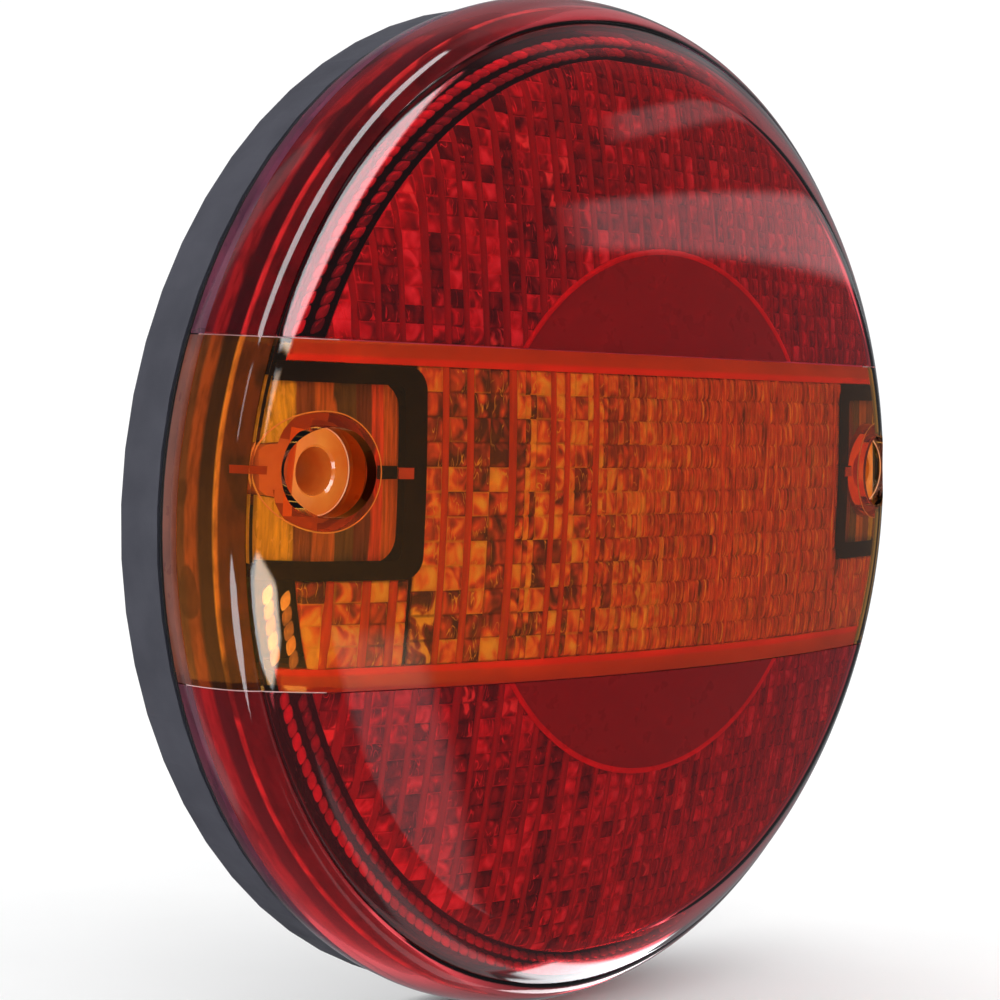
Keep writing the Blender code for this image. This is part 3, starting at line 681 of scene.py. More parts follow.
def boss_void(side):
    """The recess above the seat, and the screw hole through the tube."""
    profile = [(0.0, 0.040), (RECESS_RADIUS, 0.040), (RECESS_RADIUS, SEAT_DEPTH),
               (SCREW_HOLE + 0.0003, SEAT_DEPTH), (SCREW_HOLE, SEAT_DEPTH - 0.0003),
               (SCREW_HOLE, TUBE_END - 0.002), (0.0, TUBE_END - 0.002)]
    return turn(profile, BOSS_SEGMENTS, (side * BOSS_X, BOSS_Y))


def box(centre, size):
    """A block by its centre and size in the lamp's own frame."""
    x, y, depth = centre
    half_x, half_y, half_depth = (value / 2 for value in size)
    outline = [(x - half_x, y - half_y), (x + half_x, y - half_y), (x + half_x, y + half_y),
               (x - half_x, y + half_y)]
    return prism(outline, depth - half_depth, depth + half_depth)


def boss_rib(side):
    """The thin rib from the tube out towards the lens wall."""
    length = 0.0045
    return box((side * (BOSS_X + TUBE_RADIUS - 0.0004 + length / 2), BOSS_Y, 0.0180),
               (length, RIB_THICKNESS, 0.0070))


def boss_face_kind(face):
    """0 on the seat and in the hole, 1 on the clear wall, 2 on the tube and 3 on the wall's shaded foot."""
    x, y, z = face.center
    reach = math.hypot(abs(x) - BOSS_X, z - BOSS_Y)
    # Painted glow: the wall on the rim side takes the glowing seat amber.
    if abs(x) - BOSS_X > 0.0034 and -y > SEAT_DEPTH - 0.0003:
        return 0
    if reach > RECESS_RADIUS + 0.0004:
        return 1 if -y > WALL_LIGHT else 3
    if -y > SEAT_DEPTH + 0.0002:
        return 1
    return 2 if reach > TUBE_RADIUS - 0.0003 and -y < SEAT_DEPTH - 0.0002 else 0


def edge_ring(name, side, radius, thickness, depth_at, material):
    """A fine ring that runs round a boss; its pale colour is a painted highlight."""
    steps, around = 96, 8
    verts = []
    for k in range(steps):
        a = 2 * math.pi * k / steps
        for n in range(around):
            b = 2 * math.pi * n / around
            reach = radius + thickness * math.cos(b)
            x = side * BOSS_X + reach * math.cos(a)
            y = BOSS_Y + reach * math.sin(a)
            verts.append(lamp(x, y, depth_at(x, y) + thickness * math.sin(b)))
    faces = []
    for k in range(steps):
        for n in range(around):
            here, there = k * around, (k + 1) % steps * around
            up = (n + 1) % around
            faces.append((here + n, there + n, there + up, here + up))
    data = bpy.data.meshes.new(name)
    data.from_pydata(verts, [], faces)
    thing = bpy.data.objects.new(name, data)
    bpy.context.scene.collection.objects.link(thing)
    finish_piece(thing, "lens", [material], angle=80, shadow=False)


def make_boss_edges(seat_edge_highlight, wall_edge_highlight):
    """The fine rounded edges of the seat and of the recess wall, which catch the light; their pale colours
    are painted highlights.
    """
    for side, label in SIDES:
        edge_ring("seat_edge_highlight_" + label, side, RECESS_RADIUS - 0.00013, 0.00010,
                  lambda x, y: SEAT_DEPTH + 0.00012, seat_edge_highlight)
        edge_ring("recess_edge_highlight_" + label, side, BOSS_RADIUS + 0.00014, 0.00009,
                  lambda x, y: inner_depth(math.hypot(x, y)) - 0.00016, wall_edge_highlight)


def make_bosses(seat, clear, tube, deep):
    """The two screw bosses: a clear recess wall, a glowing seat and a tube.

    They end just under the lens wall.
    """
    for side, label in SIDES:
        boss = as_object("screw_boss_" + label, boss_solid(side, 0.0))
        boolean(boss, as_object("rib", boss_rib(side)), "UNION")
        boolean(boss, under_skin(0.00005), "INTERSECT")
        boolean(boss, as_object("void", boss_void(side)), "DIFFERENCE")
        finish_piece(boss, "lens", [seat, clear, tube, deep], angle=40, shadow=False)
        for face in boss.data.polygons:
            face.material_index = boss_face_kind(face)


def boss_neck(side, grow):
    """The thick web that stands between a boss and the rim, tapering outwards."""
    inner, outer = BOSS_X + NECK_START, BOSS_X + NECK_END + grow
    wide, narrow = NECK_WIDE + grow, NECK_NARROW + grow
    outline = [(inner, BOSS_Y - wide), (outer - 0.0006, BOSS_Y - narrow), (outer, BOSS_Y - narrow + 0.0006),
               (outer, BOSS_Y + narrow - 0.0006), (outer - 0.0006, BOSS_Y + narrow), (inner, BOSS_Y + wide)]
    return prism([(side * x, y) for x, y in outline], TUBE_END, 0.0340)


def make_boss_necks(material):
    for side, label in SIDES:
        neck = as_object("boss_neck_" + label, boss_neck(side, 0.0))
        boolean(neck, under_skin(0.0002), "INTERSECT")
        boolean(neck, as_object("boss", boss_solid(side, 0.00006)), "DIFFERENCE")
        finish_piece(neck, "lens", [material], angle=40, shadow=False)


def bracket_outline(side, shape):
    """The outline of a bracket, or of the space inside it, open towards the rim."""
    edge, half_height, corner = shape
    turns = [math.pi / 2 * (1 + k / 8) for k in range(9)]
    upper = [(edge + corner * (1 + math.cos(a)), BOSS_Y + half_height - corner * (1 - math.sin(a)))
             for a in turns]
    lower = [(x, 2 * BOSS_Y - y) for x, y in upper[::-1]]
    outline = [(0.0700, BOSS_Y + half_height), *upper, *lower, (0.0700, BOSS_Y - half_height)]
    return [(side * x, y) for x, y in outline]


def under_dome(name, outline, below, thickness, end):
    """A plate of a given outline that follows the inside of the lens wall a little below it."""
    radii = [0.0400 + (end - 0.0400) * k / 16 for k in range(17)]
    upper = [(r, inner_depth(r) - below) for r in radii]
    lower = [(r, h - thickness) for r, h in upper[::-1]]
    plate = as_object(name, turn(upper + lower, LENS_SEGMENTS))
    boolean(plate, as_object("outline", prism(outline, 0.010, 0.034)), "INTERSECT")
    return plate


def make_bracket_floors(stripes):
    """The fluted floor inside each bracket."""
    sheet = [(r / 1000, dome_depth(r / 1000) - BRACKET_FLOOR_BACK) for r in (40, 45, 50, 54, 57, 60, 62.5)]
    sheet.append(BRACKET_FLOOR_END)
    closed = sheet + [(r, h - BRACKET_FLOOR_THICKNESS) for r, h in sheet[::-1]]
    for side, label in SIDES:
        floor = as_object("bracket_floor_" + label, turn(closed, LENS_SEGMENTS))
        outline = bracket_outline(side, BRACKET_FLOOR)
        boolean(floor, as_object("window", prism(outline, 0.010, 0.034)), "INTERSECT")
        boolean(floor, as_object("room", boss_solid(side, 0.0001)), "DIFFERENCE")
        boolean(floor, as_object("room", boss_neck(side, 0.0001)), "DIFFERENCE")
        finish_piece(floor, "lens", [stripes], angle=30)


def make_bracket_frames(black, orange):
    """The black frame round each floor, and the short ribs between boss and bracket."""
    for side, label in SIDES:
        outline = bracket_outline(side, BRACKET_OUTSIDE)
        band = under_dome("bracket_frame_" + label, outline, FRAME_GAP, FRAME_THICKNESS, FRAME_END)
        inside = prism(bracket_outline(side, BRACKET_INSIDE), 0.010, 0.036)
        boolean(band, as_object("inside", inside), "DIFFERENCE")
        finish_piece(band, "lens", [black], angle=30)
        depth = dome_depth(0.0500) - BRACKET_FLOOR_BACK + 0.0005
        stub = box((side * 0.0486, BOSS_Y, depth), (0.0031, 0.0016, 0.0009))
        finish_piece(as_object("bracket_stub_" + label, stub), "lens", [black], angle=30)
        low, high = BOSS_Y - 0.0007, BOSS_Y + 0.0007
        outline = [(side * 0.0460, low), (side * 0.0482, low), (side * 0.0482, high), (side * 0.0460, high)]
        rib = under_dome("bracket_rib_" + label, outline, 0.00004, 0.00012, 0.0560)
        finish_piece(rib, "lens", [orange], angle=30)


def cut_recesses(skin):
    """Opens the screw recesses in the amber skin."""
    for side in (-1, 1):
        boolean(skin, as_object("recess", boss_void(side)), "DIFFERENCE")


def skin_face_kind(face):
    """0 on the outside of the wall, 1 on its inside, 2 inside its foot, 3 black where the dark seal and a
    painted shadow in its gap show.
    """
    x, y, z = face.center
    away = Vector((x, 0, z)).normalized() * 0.5 + Vector((0, -1, 0))
    if -y < RIM[1] + 0.00002 and math.hypot(x, z) > SEAL_EDGE:
        return 3
    outside = face.normal.dot(away) > 0 or math.hypot(x, z) > FOOT_INNER + 0.0025
    if outside:
        return 0
    return 2 if -y < FOOT_TOP + 0.0002 else 1


def make_skins(red, amber):
    """The clear outer wall of the lens in its three colours. Each colour is an outer and an inner glass."""
    half = SEAM_GAP / 2
    bands = (
        ("upper", "lens_red_upper", "red_lens", red, SEAM + half, OPEN),
        ("centre", "lens_amber_centre", "amber_lens", amber, -SEAM + half, SEAM - half),
        ("lower", "lens_red_lower", "red_lens", red, -OPEN, -SEAM - half),
    )
    full = turn(skin_profile(), LENS_SEGMENTS)
    for zone, cad_node, slot, glass, low, high in bands:
        mesh = full.copy()
        keep_band(mesh, low, high)
        skin = as_object("lens_skin_" + zone, mesh)
        if zone == "centre":
            cut_recesses(skin)
        finish_piece(skin, "lens", glass, [cad_node], shadow=False)
        for face in skin.data.polygons:
            face.material_index = skin_face_kind(face)
    full.free()


def make_seam_welds(material):
    """The pale weld line between the lens colours, where it crosses the shoulder and the side."""
    outer = [point for point in outer_profile() if point[0] > DOME_EDGE + 0.0010]
    inner = [(r - 0.0004, h - 0.0002) for r, h in outer[::-1]]
    for label, height in (("upper", SEAM), ("lower", -SEAM)):
        mesh = turn(outer + inner, LENS_SEGMENTS)
        keep_band(mesh, height - SEAM_GAP / 3, height + SEAM_GAP / 3)
        finish_piece(as_object("seam_weld_" + label, mesh), "lens", [material], shadow=False)


# ---------------------------------------------------------------- moulded optics

STEPS = (0.0, 0.1, 0.3, 0.5, 0.7, 0.9)
CROWN = (0.0, 0.55, 0.9, 1.0, 0.9, 0.55)


def stations(edges):
    """Sample places along one direction of a sheet: place, cell number, step in the cell."""
    places = []
    for number, (low, high) in enumerate(zip(edges, edges[1:])):
        for step, share in enumerate(STEPS):
            places.append((low + (high - low) * share, number, step))
    places.append((edges[-1], len(edges) - 2, len(STEPS)))
    return places


def optics_sheet(name, columns, kinds, rows, keep, crown, below, materials, chance,
                 limit=SHEET_EDGE):
    """A moulded sheet of pillows and flutes that follows the dome.

    Columns and rows are edges; kinds says for each column whether it is windows (0) or a flute (1).
    Cells that cross the round limit end on it.
    """
    across = stations(columns)
    upward = stations(rows)
    per_cell = len(STEPS)
    verts, index = [], {}
    faces, cells, inside = [], [], []

    def vertex(i, j):
        if (i, j) not in index:
            x, column, step_x = across[i]
            y, _, step_y = upward[j]
            rise_x = CROWN[step_x % per_cell]
            rise_y = CROWN[step_y % per_cell]
            rise = rise_x if kinds[min(column, len(kinds) - 1)] else min(rise_x, rise_y)
            shrink = min(1.0, limit / max(math.hypot(x, y), 1e-9))
            x, y = x * shrink, y * shrink
            reach = math.hypot(x, y)
            depth = min(dome_depth(reach) - below + crown * rise, inner_depth(reach) - 0.0004)
            index[i, j] = len(verts)
            verts.append(lamp(x, y, depth))
        return index[i, j]

    for column in range(len(columns) - 1):
        for row in range(len(rows) - 1):
            if row == 0 or chance.random() > 0.3:
                numbers = chance.random(3)
            if not keep(columns[column], columns[column + 1], rows[row], rows[row + 1]):
                continue
            if kinds[column]:
                numbers = np.full(3, 0.5)
            for a in range(per_cell):
                for b in range(per_cell):
                    i, j = column * per_cell + a, row * per_cell + b
                    if math.hypot(min(map(abs, (across[i][0], across[i + 1][0]))),
                                  min(map(abs, (upward[j][0], upward[j + 1][0])))) > limit:
                        continue
                    faces.append((vertex(i, j), vertex(i + 1, j), vertex(i + 1, j + 1), vertex(i, j + 1)))
                    cells.append(numbers)
                    right = STEPS[a + 1] if a + 1 < per_cell else 1.0
                    top = STEPS[b + 1] if b + 1 < per_cell else 1.0
                    corners = ((STEPS[a], STEPS[b]), (right, STEPS[b]), (right, top), (STEPS[a], top))
                    inside.extend((u, v, kinds[column]) for u, v in corners)
    data = bpy.data.meshes.new(name)
    data.from_pydata(verts, [], faces)
    data.attributes.new("cell", "FLOAT_VECTOR", "FACE").data.foreach_set("vector", np.ravel(cells))
    data.attributes.new("inside", "FLOAT_VECTOR", "CORNER").data.foreach_set("vector", np.ravel(inside))
    thing = bpy.data.objects.new(name, data)
    bpy.context.scene.collection.objects.link(thing)
    finish_piece(thing, "lens", materials, angle=60)
    thickness = thing.modifiers.new("thickness", "SOLIDIFY")
    thickness.thickness = OPTICS_THICKNESS
    thickness.offset = -1
    thickness.material_offset = 1
    thickness.material_offset_rim = 1
    return thing


def edges_from(start, widths):
    edges = [start]
    for width in widths:
        edges.append(edges[-1] + width)
    return edges


def amber_columns(chance):
    """Columns across the amber field: broad cells on one side, fine flutes on the other."""
    chosen = [(3.8, 0), (0.9, 1), (2.9, 0), (1.0, 1), (2.7, 0), (3.1, 0), (1.2, 1),
              (1.5, 0), (0.8, 0), (1.0, 0), (2.6, 0), (0.8, 1), (1.6, 0), (0.9, 1), (1.0, 0), (2.4, 0)]
    total = sum(width for width, kind in chosen)
    span = 2000 * AMBER_HALF_WIDTH
    while total < span - 2.5:
        width = float(chance.choice([0.8, 1.0, 1.2, 1.5, 2.1], p=[0.25, 0.3, 0.2, 0.15, 0.1]))
        kind = int(chance.random() < 0.12)
        chosen.append((width, kind))
        total += width
    chosen.append((span - total, 0))
    edges = edges_from(-AMBER_HALF_WIDTH, [width / 1000 for width, kind in chosen])
    return edges, [kind for width, kind in chosen]


def amber_rows():
    step = 2 * STRIP_LOW / AMBER_ROWS
    return [-STRIP_LOW + step * k for k in range(AMBER_ROWS + 1)]


def side_columns(side):
    """Columns beside the screw boss, between the fine field and the rim."""
    widths = [(1.5, 0), (1.2, 1), (2.6, 0), (1.2, 1), (4.0, 0), (1.1, 1), (5.0, 0)]
    edges = edges_from(AMBER_HALF_WIDTH + 0.0006, [width / 1000 for width, kind in widths])
    kinds = [kind for width, kind in widths]
    if side < 0:
        return [-edge for edge in edges[::-1]], kinds[::-1]
    return edges, kinds


def make_amber_optics(front, back):
    chance = np.random.default_rng(SEED)
    columns, kinds = amber_columns(chance)
    optics_sheet("amber_optics", columns, kinds, amber_rows(), lambda *cell: True, 0.00045, OPTICS_BACK,
                 [front, back], chance)
    for side, label in SIDES:
        columns, kinds = side_columns(side)
        top = BOSS_Y - BRACKET_OUTSIDE[1] - 0.0001
        rows = [-STRIP_LOW + (top + STRIP_LOW) * k / 4 for k in range(5)]
        optics_sheet("amber_side_optics_" + label, columns, kinds, rows, lambda *cell: True, 0.0004,
                     OPTICS_BACK, [front, back], chance)


def red_columns(chance):
    """Windows and flutes in turn, which get finer towards the right."""
    half_width = 0.060
    widths = []
    x = -half_width
    while x < half_width:
        finer = 1.0 - 0.45 * (x + half_width) / (2 * half_width)
        wide = (0.0021 + 0.0010 * chance.random()) * finer
        narrow = (0.0007 + 0.0006 * chance.random()) * finer
        widths += [wide, narrow]
        x += wide + narrow
    return edges_from(-half_width, widths), [0, 1] * (len(widths) // 2)


def outside_disc(x0, x1, y0, y1):
    """Whether a cell lies on the sheet and reaches beyond the plain disc."""
    nearest = math.hypot(min(abs(x0), abs(x1)), min(abs(y0), abs(y1)))
    farthest = math.hypot(max(abs(x0), abs(x1)), max(abs(y0), abs(y1)))
    return nearest < SHEET_EDGE - 0.0003 and farthest >= DISC_RADIUS - 0.0005


def make_red_optics(front, back):
    chance = np.random.default_rng(SEED + 1)
    for sign, label in ((1, "upper"), (-1, "lower")):
        columns, kinds = red_columns(chance)
        rows = sorted(sign * (STRIP_HIGH + RED_ROW * k) for k in range(18))
        optics_sheet("red_optics_" + label, columns, kinds, rows, outside_disc, 0.00045, OPTICS_BACK,
                     [front, back], chance)


def make_plain_strips(front, back):
    """The smooth bands between the amber field and the seams."""
    chance = np.random.default_rng(SEED + 2)
    count = 32
    columns = [-0.0640 + 0.0040 * k for k in range(count + 1)]
    for sign, label in ((1, "upper"), (-1, "lower")):
        rows = sorted((sign * STRIP_LOW, sign * (STRIP_LOW + 0.0009), sign * STRIP_HIGH))
        optics_sheet("plain_strip_" + label, columns, [1] * count, rows, lambda *cell: True, 0.0,
                     OPTICS_BACK - 0.0004, [front, back], chance, STRIP_EDGE)


def make_discs(disc, rim):
    """The plain round window in the middle of the red fields, and the fine ridge round it, whose bright red
    is a painted highlight.
    """
    radii = [DISC_RADIUS * k / 16 for k in range(17)]
    front = [(r, dome_depth(r) - DISC_BACK) for r in radii]
    back = [(r, h - DISC_THICKNESS) for r, h in front[::-1]]
    edge = dome_depth(DISC_RADIUS) - DISC_BACK - 0.00005
    turns = [2 * math.pi * k / 12 for k in range(12)]
    ridge = [(DISC_RADIUS + RIDGE_WIDTH * math.cos(a), edge + RIDGE_HEIGHT * math.sin(a)) for a in turns]
    for label, low, high in (("upper", STRIP_HIGH, OPEN), ("lower", -OPEN, -STRIP_HIGH)):
        for name, profile, material in (("plain_disc_", front + back, disc), ("disc_ridge_", ridge, rim)):
            mesh = turn(profile, LENS_SEGMENTS)
            keep_band(mesh, low, high)
            finish_piece(as_object(name + label, mesh), "lens", [material])


def make_side_collar(material):
    """The ribbed collar inside the side wall, seen through it as stripes of painted light and shade."""
    wall = [point for point in inset(plain_profile(), SKIN_WALL + 0.00012) if point[1] < COLLAR_TOP]
    inner = [(r - COLLAR_THICKNESS, h) for r, h in wall[::-1]]
    bands = (("upper", SEAM, OPEN, "red_lens"), ("centre", -SEAM, SEAM, "amber_lens"),
             ("lower", -OPEN, -SEAM, "red_lens"))
    for label, low, high, slot in bands:
        mesh = turn(wall + inner, LENS_SEGMENTS)
        keep_band(mesh, low, high)
        finish_piece(as_object("side_collar_" + label, mesh), "lens", [material])


def make_shade_ring(material):
    """The black ring behind the outer edge of the prisms and behind the beads, put there as painted shade
    for the dark inside of the lamp.
    """
    under = [point for point in inset(plain_profile(), SKIN_WALL + 0.0013) if 0.0602 < point[0] < 0.0652]
    rim = [(r, dome_depth(r) - OPTICS_BACK - OPTICS_THICKNESS - 0.0006) for r in (0.0540, 0.0570, 0.0592)]
    outer = rim + [point for point in under if point[1] > 0.0185]
    inner = [(r - 0.0004, h - 0.0006) for r, h in outer[::-1]]
    for label, low, high in (("upper", SEAM, OPEN), ("lower", -OPEN, -SEAM)):
        mesh = turn(outer + inner, LENS_SEGMENTS)
        keep_band(mesh, low, high)
        finish_piece(as_object("shade_ring_" + label, mesh), "lens", [material])


def shoulder_place(radius, below):
    """Point, slope direction and outward normal of the shoulder at a radius, moved in below the surface."""
    points = shoulder_points(24)
    for (r0, h0), (r1, h1) in zip(points, points[1:]):
        if r0 <= radius <= r1:
            along = Vector((r1 - r0, h1 - h0)).normalized()
            normal = Vector((-along.y, along.x))
            share = (radius - r0) / (r1 - r0)
            return Vector((r0, h0)).lerp(Vector((r1, h1)), share) - normal * below, along, normal
    raise ValueError("radius outside the shoulder")


BEAD_ROWS = ((0.0652, 0.0), (0.0635, 0.5))
BEAD_COUNT = 208
BEAD_SIZE = (0.00096, 0.00064, 0.00036)
BEAD_SKEW = 0.55


def bead_template():
    """Points and faces of one rounded block, two units across."""
    mesh = bmesh.new()
    bmesh.ops.create_cube(mesh, size=2.0)
    bmesh.ops.subdivide_edges(mesh, edges=mesh.edges[:], cuts=2, use_grid_fill=True)
    points = [tuple(v.co / sum(abs(c) ** 3.5 for c in v.co) ** (1 / 3.5)) for v in mesh.verts]
    faces = [tuple(v.index for v in f.verts) for f in mesh.faces]
    mesh.free()
    return points, faces


def make_beads(red, amber):
    """Two rows of small bead prisms inside the shoulder."""
    chance = np.random.default_rng(SEED + 3)
    points, faces = bead_template()
    zones = {"upper": ([], [], []), "centre": ([], [], []), "lower": ([], [], [])}
    for radius, phase in BEAD_ROWS:
        centre, along, normal = shoulder_place(radius, SKIN_WALL + 0.00055)
        for k in range(BEAD_COUNT):
            angle = 2 * math.pi * (k + phase) / BEAD_COUNT
            numbers = chance.random(3)
            # The outer row gets a brighter share: painted light along the shoulder.
            numbers[1] = 1.0 if phase == 0 else 0.0
            ray = Vector((math.cos(angle), math.sin(angle)))
            x, y = ray * centre.x
            if STRIP_LOW - 0.0009 < abs(y) < SEAM + 0.0011:
                continue
            if abs(y) < SEAM and y > BOSS_Y - BRACKET_OUTSIDE[1] - 0.0010:
                continue
            zone = "upper" if y > SEAM else "lower" if y < -SEAM else "centre"
            verts, quads, cells = zones[zone]
            start = len(verts)
            across = Vector((-ray.y, ray.x, 0))
            down = Vector((*(ray * along.x), along.y))
            out = Vector((*(ray * normal.x), normal.y))
            middle = Vector((x, y, centre.y))
            for u, v, w in points:
                place_at = (middle + across * BEAD_SIZE[0] * (u + BEAD_SKEW * v) + down * BEAD_SIZE[1] * v
                            + out * BEAD_SIZE[2] * w)
                verts.append(lamp(*place_at))
            quads.extend(tuple(start + c for c in face) for face in faces)
            cells.extend([numbers] * len(faces))
    for zone, (verts, quads, cells) in zones.items():
        data = bpy.data.meshes.new("beads")
        data.from_pydata(verts, [], quads)
        data.attributes.new("cell", "FLOAT_VECTOR", "FACE").data.foreach_set("vector", np.ravel(cells))
        mesh = bmesh.new()
        mesh.from_mesh(data)
        bmesh.ops.recalc_face_normals(mesh, faces=mesh.faces)
        bpy.data.meshes.remove(data)
        slot, material = ("amber_lens", amber) if zone == "centre" else ("red_lens", red)
        finish_piece(as_object("bead_prisms_" + zone, mesh), "lens", [material], angle=70)


# ---------------------------------------------------------------- camera, light and stage

CAMERA_DIRECTION = (-47.24, 3.11)
CAMERA_ROLL = math.radians(2.44)
CAMERA_DISTANCE = 0.32527
CAMERA_TARGET = Vector((-0.02147, -0.0200, 0.0013))
FOCAL_LENGTH = 87.57
SENSOR_WIDTH = 36.0


def direction_to(azimuth, elevation):
    """Unit vector towards an azimuth and an elevation in degrees."""
    a, e = math.radians(azimuth), math.radians(elevation)
    return Vector((math.sin(a) * math.cos(e), -math.cos(a) * math.cos(e), math.sin(e)))


def make_camera():
    """Looks at the lamp from its left at about 47 degrees, a little above its axis."""
    back = direction_to(*CAMERA_DIRECTION)
    right = (-back).cross(Vector((0, 0, 1))).normalized()
    up = back.cross(right)
    across = math.cos(CAMERA_ROLL) * right + math.sin(CAMERA_ROLL) * up
    upward = -math.sin(CAMERA_ROLL) * right + math.cos(CAMERA_ROLL) * up
    data = bpy.data.cameras.new("camera")
    data.lens = FOCAL_LENGTH
    data.sensor_width = SENSOR_WIDTH
    data.clip_start = 0.01
    camera = bpy.data.objects.new("camera", data)
    bpy.context.scene.collection.objects.link(camera)
    turned = Matrix((across, upward, back)).transposed().to_4x4()
    camera.matrix_world = Matrix.Translation(CAMERA_TARGET + back * CAMERA_DISTANCE) @ turned
    bpy.context.scene.camera = camera


# Studio softboxes that the gloss reflects: corners as (azimuth, elevation) in degrees, soft edge and
# brightness. Azimuth 0 is in front of the lamp and 90 to its right; elevation is above the horizon.
SOFTBOXES = (
    (((-41.5, 24), (-34.5, 35), (-21, 51.5), (-6, 61.5), (23, 69), (48, 71.5), (60, 76), (-51, 28)),
     1.0, 9.5),
    (((-47.0, 9), (-43.5, 21), (-48, 21), (-50, 9)), 0.8, 4.0),
    (((52, 72), (62, 52), (108, 22), (125, 30), (110, 70)), 4.0, 0.25),
    (((42, 14.2), (92, 5.5), (92, 9.8), (42, 17.2)), (0.5, 1.0, 0.4, 3.5), 0.9),
    (((49, 20.6), (68, 19.3), (68, 20.6), (49, 22.2)), (0.4, 0.4, 0.3, 2.5), 0.6),
    (((-47, -10), (-38, -15), (-37, -24), (-49, -39), (-53, -24), (-51.5, -14)), 1.0, 8.5),
    (((-26, -43), (85, -56), (95, -66), (-22, -53)), 1.0, 0.65),
    (((16, -12), (25, -12), (42, -33), (34, -36)), 1.0, 0.6),
    (((-160, -50), (-140, -50), (-140, 60), (-160, 60)), 3.0, 0.5),
    (((88, -60), (150, -60), (150, 60), (88, 60)), 6.0, 0.14),
    (((84, -50), (112, -27), (116, -32), (90, -56)), 1.0, 5.0),
)
STUDIO_DARK = (0.13, 0.13, 0.14, 1.0)
WHITE = (1.0, 1.0, 1.0, 1.0)


def softbox_glow(tree, direction, corners, feather, brightness):
    """Brightness inside a polygon on the sky, fading over its edges by one feather or one for each edge."""
    points = [direction_to(*corner) for corner in corners]
    middle = sum(points, Vector()).normalized()
    inside = brightness
    feathers = feather if isinstance(feather, tuple) else (feather,) * len(points)
    for first, second, soft_edge in zip(points, points[1:] + points[:1], feathers):
        edge = first.cross(second).normalized()
        if edge.dot(middle) < 0:
            edge = -edge
        beyond = node(tree, "VectorMath", {0: direction, 1: edge}, operation="DOT_PRODUCT").outputs["Value"]
        soft = math.sin(math.radians(soft_edge))
        inside = product(tree, inside, remap(tree, beyond, -soft, soft, kind="SMOOTHSTEP"))
    return inside


def background(tree, colour, strength):
    return node(tree, "Background", {"Color": colour, "Strength": strength}).outputs[0]


def make_world():
    """White to the eye and to soft light; dark with softboxes where the gloss reflects it.

    What passes through the lens also meets a soft glow from below and from the left.
    """
    world = bpy.data.worlds.new("studio")
    bpy.context.scene.world = world
    world.use_nodes = True
    tree = world.node_tree
    direction = node(tree, "TexCoord").outputs["Generated"]
    towards = node(tree, "SeparateXYZ", {0: direction}).outputs
    path = node(tree, "LightPath").outputs
    glow = 0.0
    for corners, feather, brightness in SOFTBOXES:
        glow = maths(tree, "ADD", glow, softbox_glow(tree, direction, corners, feather, brightness))
    boxes = background(tree, (0.95, 0.97, 1.0, 1.0), glow)
    dark = background(tree, STUDIO_DARK, 1.0)
    below = remap(tree, towards["Z"], -0.6, 0.5, 0.8, 0.0, "SMOOTHSTEP")
    left = remap(tree, towards["X"], 0.3, 0.65, 1.0, 0.0, "SMOOTHSTEP")
    through = product(tree, product(tree, below, left), path["Is Transmission Ray"])
    bounce = background(tree, WHITE, through)
    studio = node(tree, "AddShader", {0: boxes, 1: dark}).outputs[0]
    studio = node(tree, "AddShader", {0: studio, 1: bounce}).outputs[0]
    fill = background(tree, WHITE, remap(tree, towards["Z"], -0.6, 0.9, 0.75, 1.3))
    sharp = maths(tree, "MAXIMUM", path["Is Glossy Ray"], path["Is Transmission Ray"])
    lit = node(tree, "MixShader", {0: sharp, 1: fill, 2: studio}).outputs[0]
    seen = background(tree, WHITE, 1.05)
    shown = node(tree, "MixShader", {0: path["Is Camera Ray"], 1: lit, 2: seen}).outputs[0]
    tree.links.new(shown, tree.nodes["World Output"].inputs["Surface"])


def make_floor():
    """A plain pale floor just under the lamp, which the lens neither reflects nor shows."""
    shape = bmesh.new()
    bmesh.ops.create_grid(shape, x_segments=1, y_segments=1, size=6.0)
    floor = as_object("floor", shape)
    floor.location = (0, 0, cad_low.z - 0.0005)
    material, tree, shader = start_material("floor_white", Roughness=0.9, Specular_IOR_Level=0.1)
    cloud = noise(tree, place(tree), 0.02, detail=3)
    feed(tree, ramp(tree, cloud, [(0.3, (0.93, 0.93, 0.93, 1)), (0.7, (0.96, 0.96, 0.96, 1))]), shader)
    floor.data.materials.append(material)
    floor.visible_glossy = False
    floor.visible_transmission = False


# The prism colours below are painted light and shade: dark and bright patches, highlight lines and glints.
def amber_front():
    windows = [(0.28, srgb(80, 57, 109)), (0.40, srgb(153, 82, 137)), (0.52, srgb(226, 112, 160)),
               (0.62, srgb(252, 180, 184)), (0.76, srgb(255, 248, 225))]
    strips = [(0.3, srgb(180, 74, 112)), (0.7, srgb(222, 88, 120))]
    fine = [(0.32, srgb(90, 50, 90)), (0.44, srgb(184, 88, 130)), (0.56, srgb(230, 106, 152)),
            (0.64, srgb(246, 166, 168)), (0.72, srgb(255, 244, 220))]
    return optics_front("amber_prisms", windows, strips, fine, 0.85, srgb(240, 225, 190),
                        srgb(255, 255, 200))


def red_front():
    windows = [(0.28, srgb(70, 48, 50)), (0.40, srgb(110, 70, 72)), (0.52, srgb(146, 86, 88)),
               (0.63, srgb(208, 98, 116)), (0.78, srgb(250, 190, 200))]
    strips = [(0.3, srgb(140, 84, 84)), (0.7, srgb(166, 88, 88))]
    fine = [(0.32, srgb(80, 52, 56)), (0.50, srgb(150, 88, 90)), (0.64, srgb(200, 100, 112)),
            (0.74, srgb(255, 190, 200))]
    return optics_front("red_prisms", windows, strips, fine, 0.45, srgb(240, 130, 140), srgb(255, 230, 200))


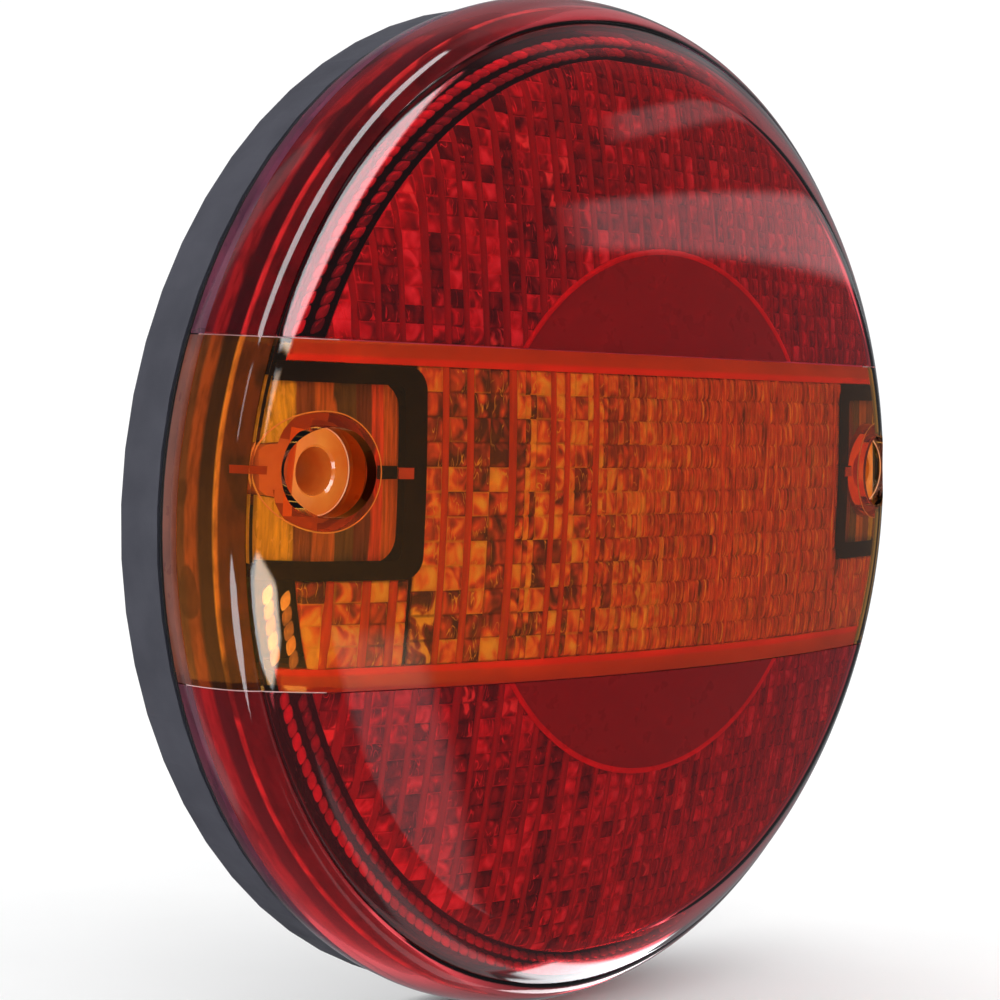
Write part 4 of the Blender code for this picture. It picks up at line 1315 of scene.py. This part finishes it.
def main():
    bpy.context.scene.view_settings.view_transform = "Standard"
    make_camera()
    make_world()
    make_floor()
    black = moulded("satin_black", srgb(24, 19, 20), srgb(14, 11, 12), roughness=0.8, shine=0.03)
    red_foot = moulded("red_foot", behind(RED_TINT, 176, 64, 88), behind(RED_TINT, 140, 52, 76))
    amber_foot = moulded("amber_foot", behind(AMBER_TINT, 206, 110, 62), behind(AMBER_TINT, 176, 88, 48))
    # Each skin's fourth material is black: the dark seal with painted shadow in the gap beside it.
    make_skins([lens_glass("red_glass", RED_TINT), lens_glass("red_glass_inside", RED_TINT, 0.0),
                red_foot, black],
               [lens_glass("amber_glass", AMBER_TINT), lens_glass("amber_glass_inside", AMBER_TINT, 0.0),
                amber_foot, black])
    make_seam_welds(moulded("weld_line", srgb(214, 176, 176), srgb(150, 96, 92)))
    tube = boss_plastic("amber_tube", behind(AMBER_TINT, 240, 118, 52), behind(AMBER_TINT, 218, 92, 40))
    seat = boss_plastic("amber_seat", srgb(255, 150, 60), srgb(244, 120, 42))
    clear = lens_glass("amber_boss_glass", AMBER_TINT, 0.3, 1.12)
    make_bosses(seat, clear, tube, moulded("boss_shade", srgb(186, 84, 44), srgb(132, 58, 32)))
    # Pale rings as painted highlights on the seat edge and the recess edge.
    make_boss_edges(moulded("seat_edge_highlight", srgb(255, 196, 150), srgb(250, 150, 90), roughness=0.15),
                    moulded("recess_edge_highlight", WHITE, (1.0, 0.6, 1.0, 1.0), roughness=0.15))
    make_boss_necks(tube)
    amber_back = moulded("amber_moulding", srgb(225, 105, 20), srgb(190, 80, 15))
    red_back = moulded("red_moulding", srgb(170, 20, 25), srgb(130, 12, 18))
    make_plain_strips(strip_material(), amber_back)
    make_discs(moulded("plain_red", srgb(144, 92, 86), srgb(141, 90, 84)),
               moulded("ridge_red", srgb(235, 90, 100), srgb(215, 70, 80)))
    make_side_collar(collar_material())
    make_shade_ring(black)
    make_beads(bead_material("red_beads", [(0.15, behind(RED_TINT, 70, 16, 24)),
                                           (0.45, behind(RED_TINT, 150, 26, 38)),
                                           (0.85, behind(RED_TINT, 236, 40, 58))], 0.0),
               bead_material("amber_beads", [(0.15, behind(AMBER_TINT, 90, 50, 24)),
                                             (0.45, behind(AMBER_TINT, 200, 110, 34)),
                                             (0.85, behind(AMBER_TINT, 255, 214, 90))], 0.6))
    make_amber_optics(amber_front(), amber_back)
    make_bracket_floors(stripe_floor())
    make_bracket_frames(black, boss_plastic("amber_rib", behind(AMBER_TINT, 214, 70, 44),
                                            behind(AMBER_TINT, 196, 58, 40)))
    make_red_optics(red_front(), red_back)
    dress_cad_nodes(black)


main()
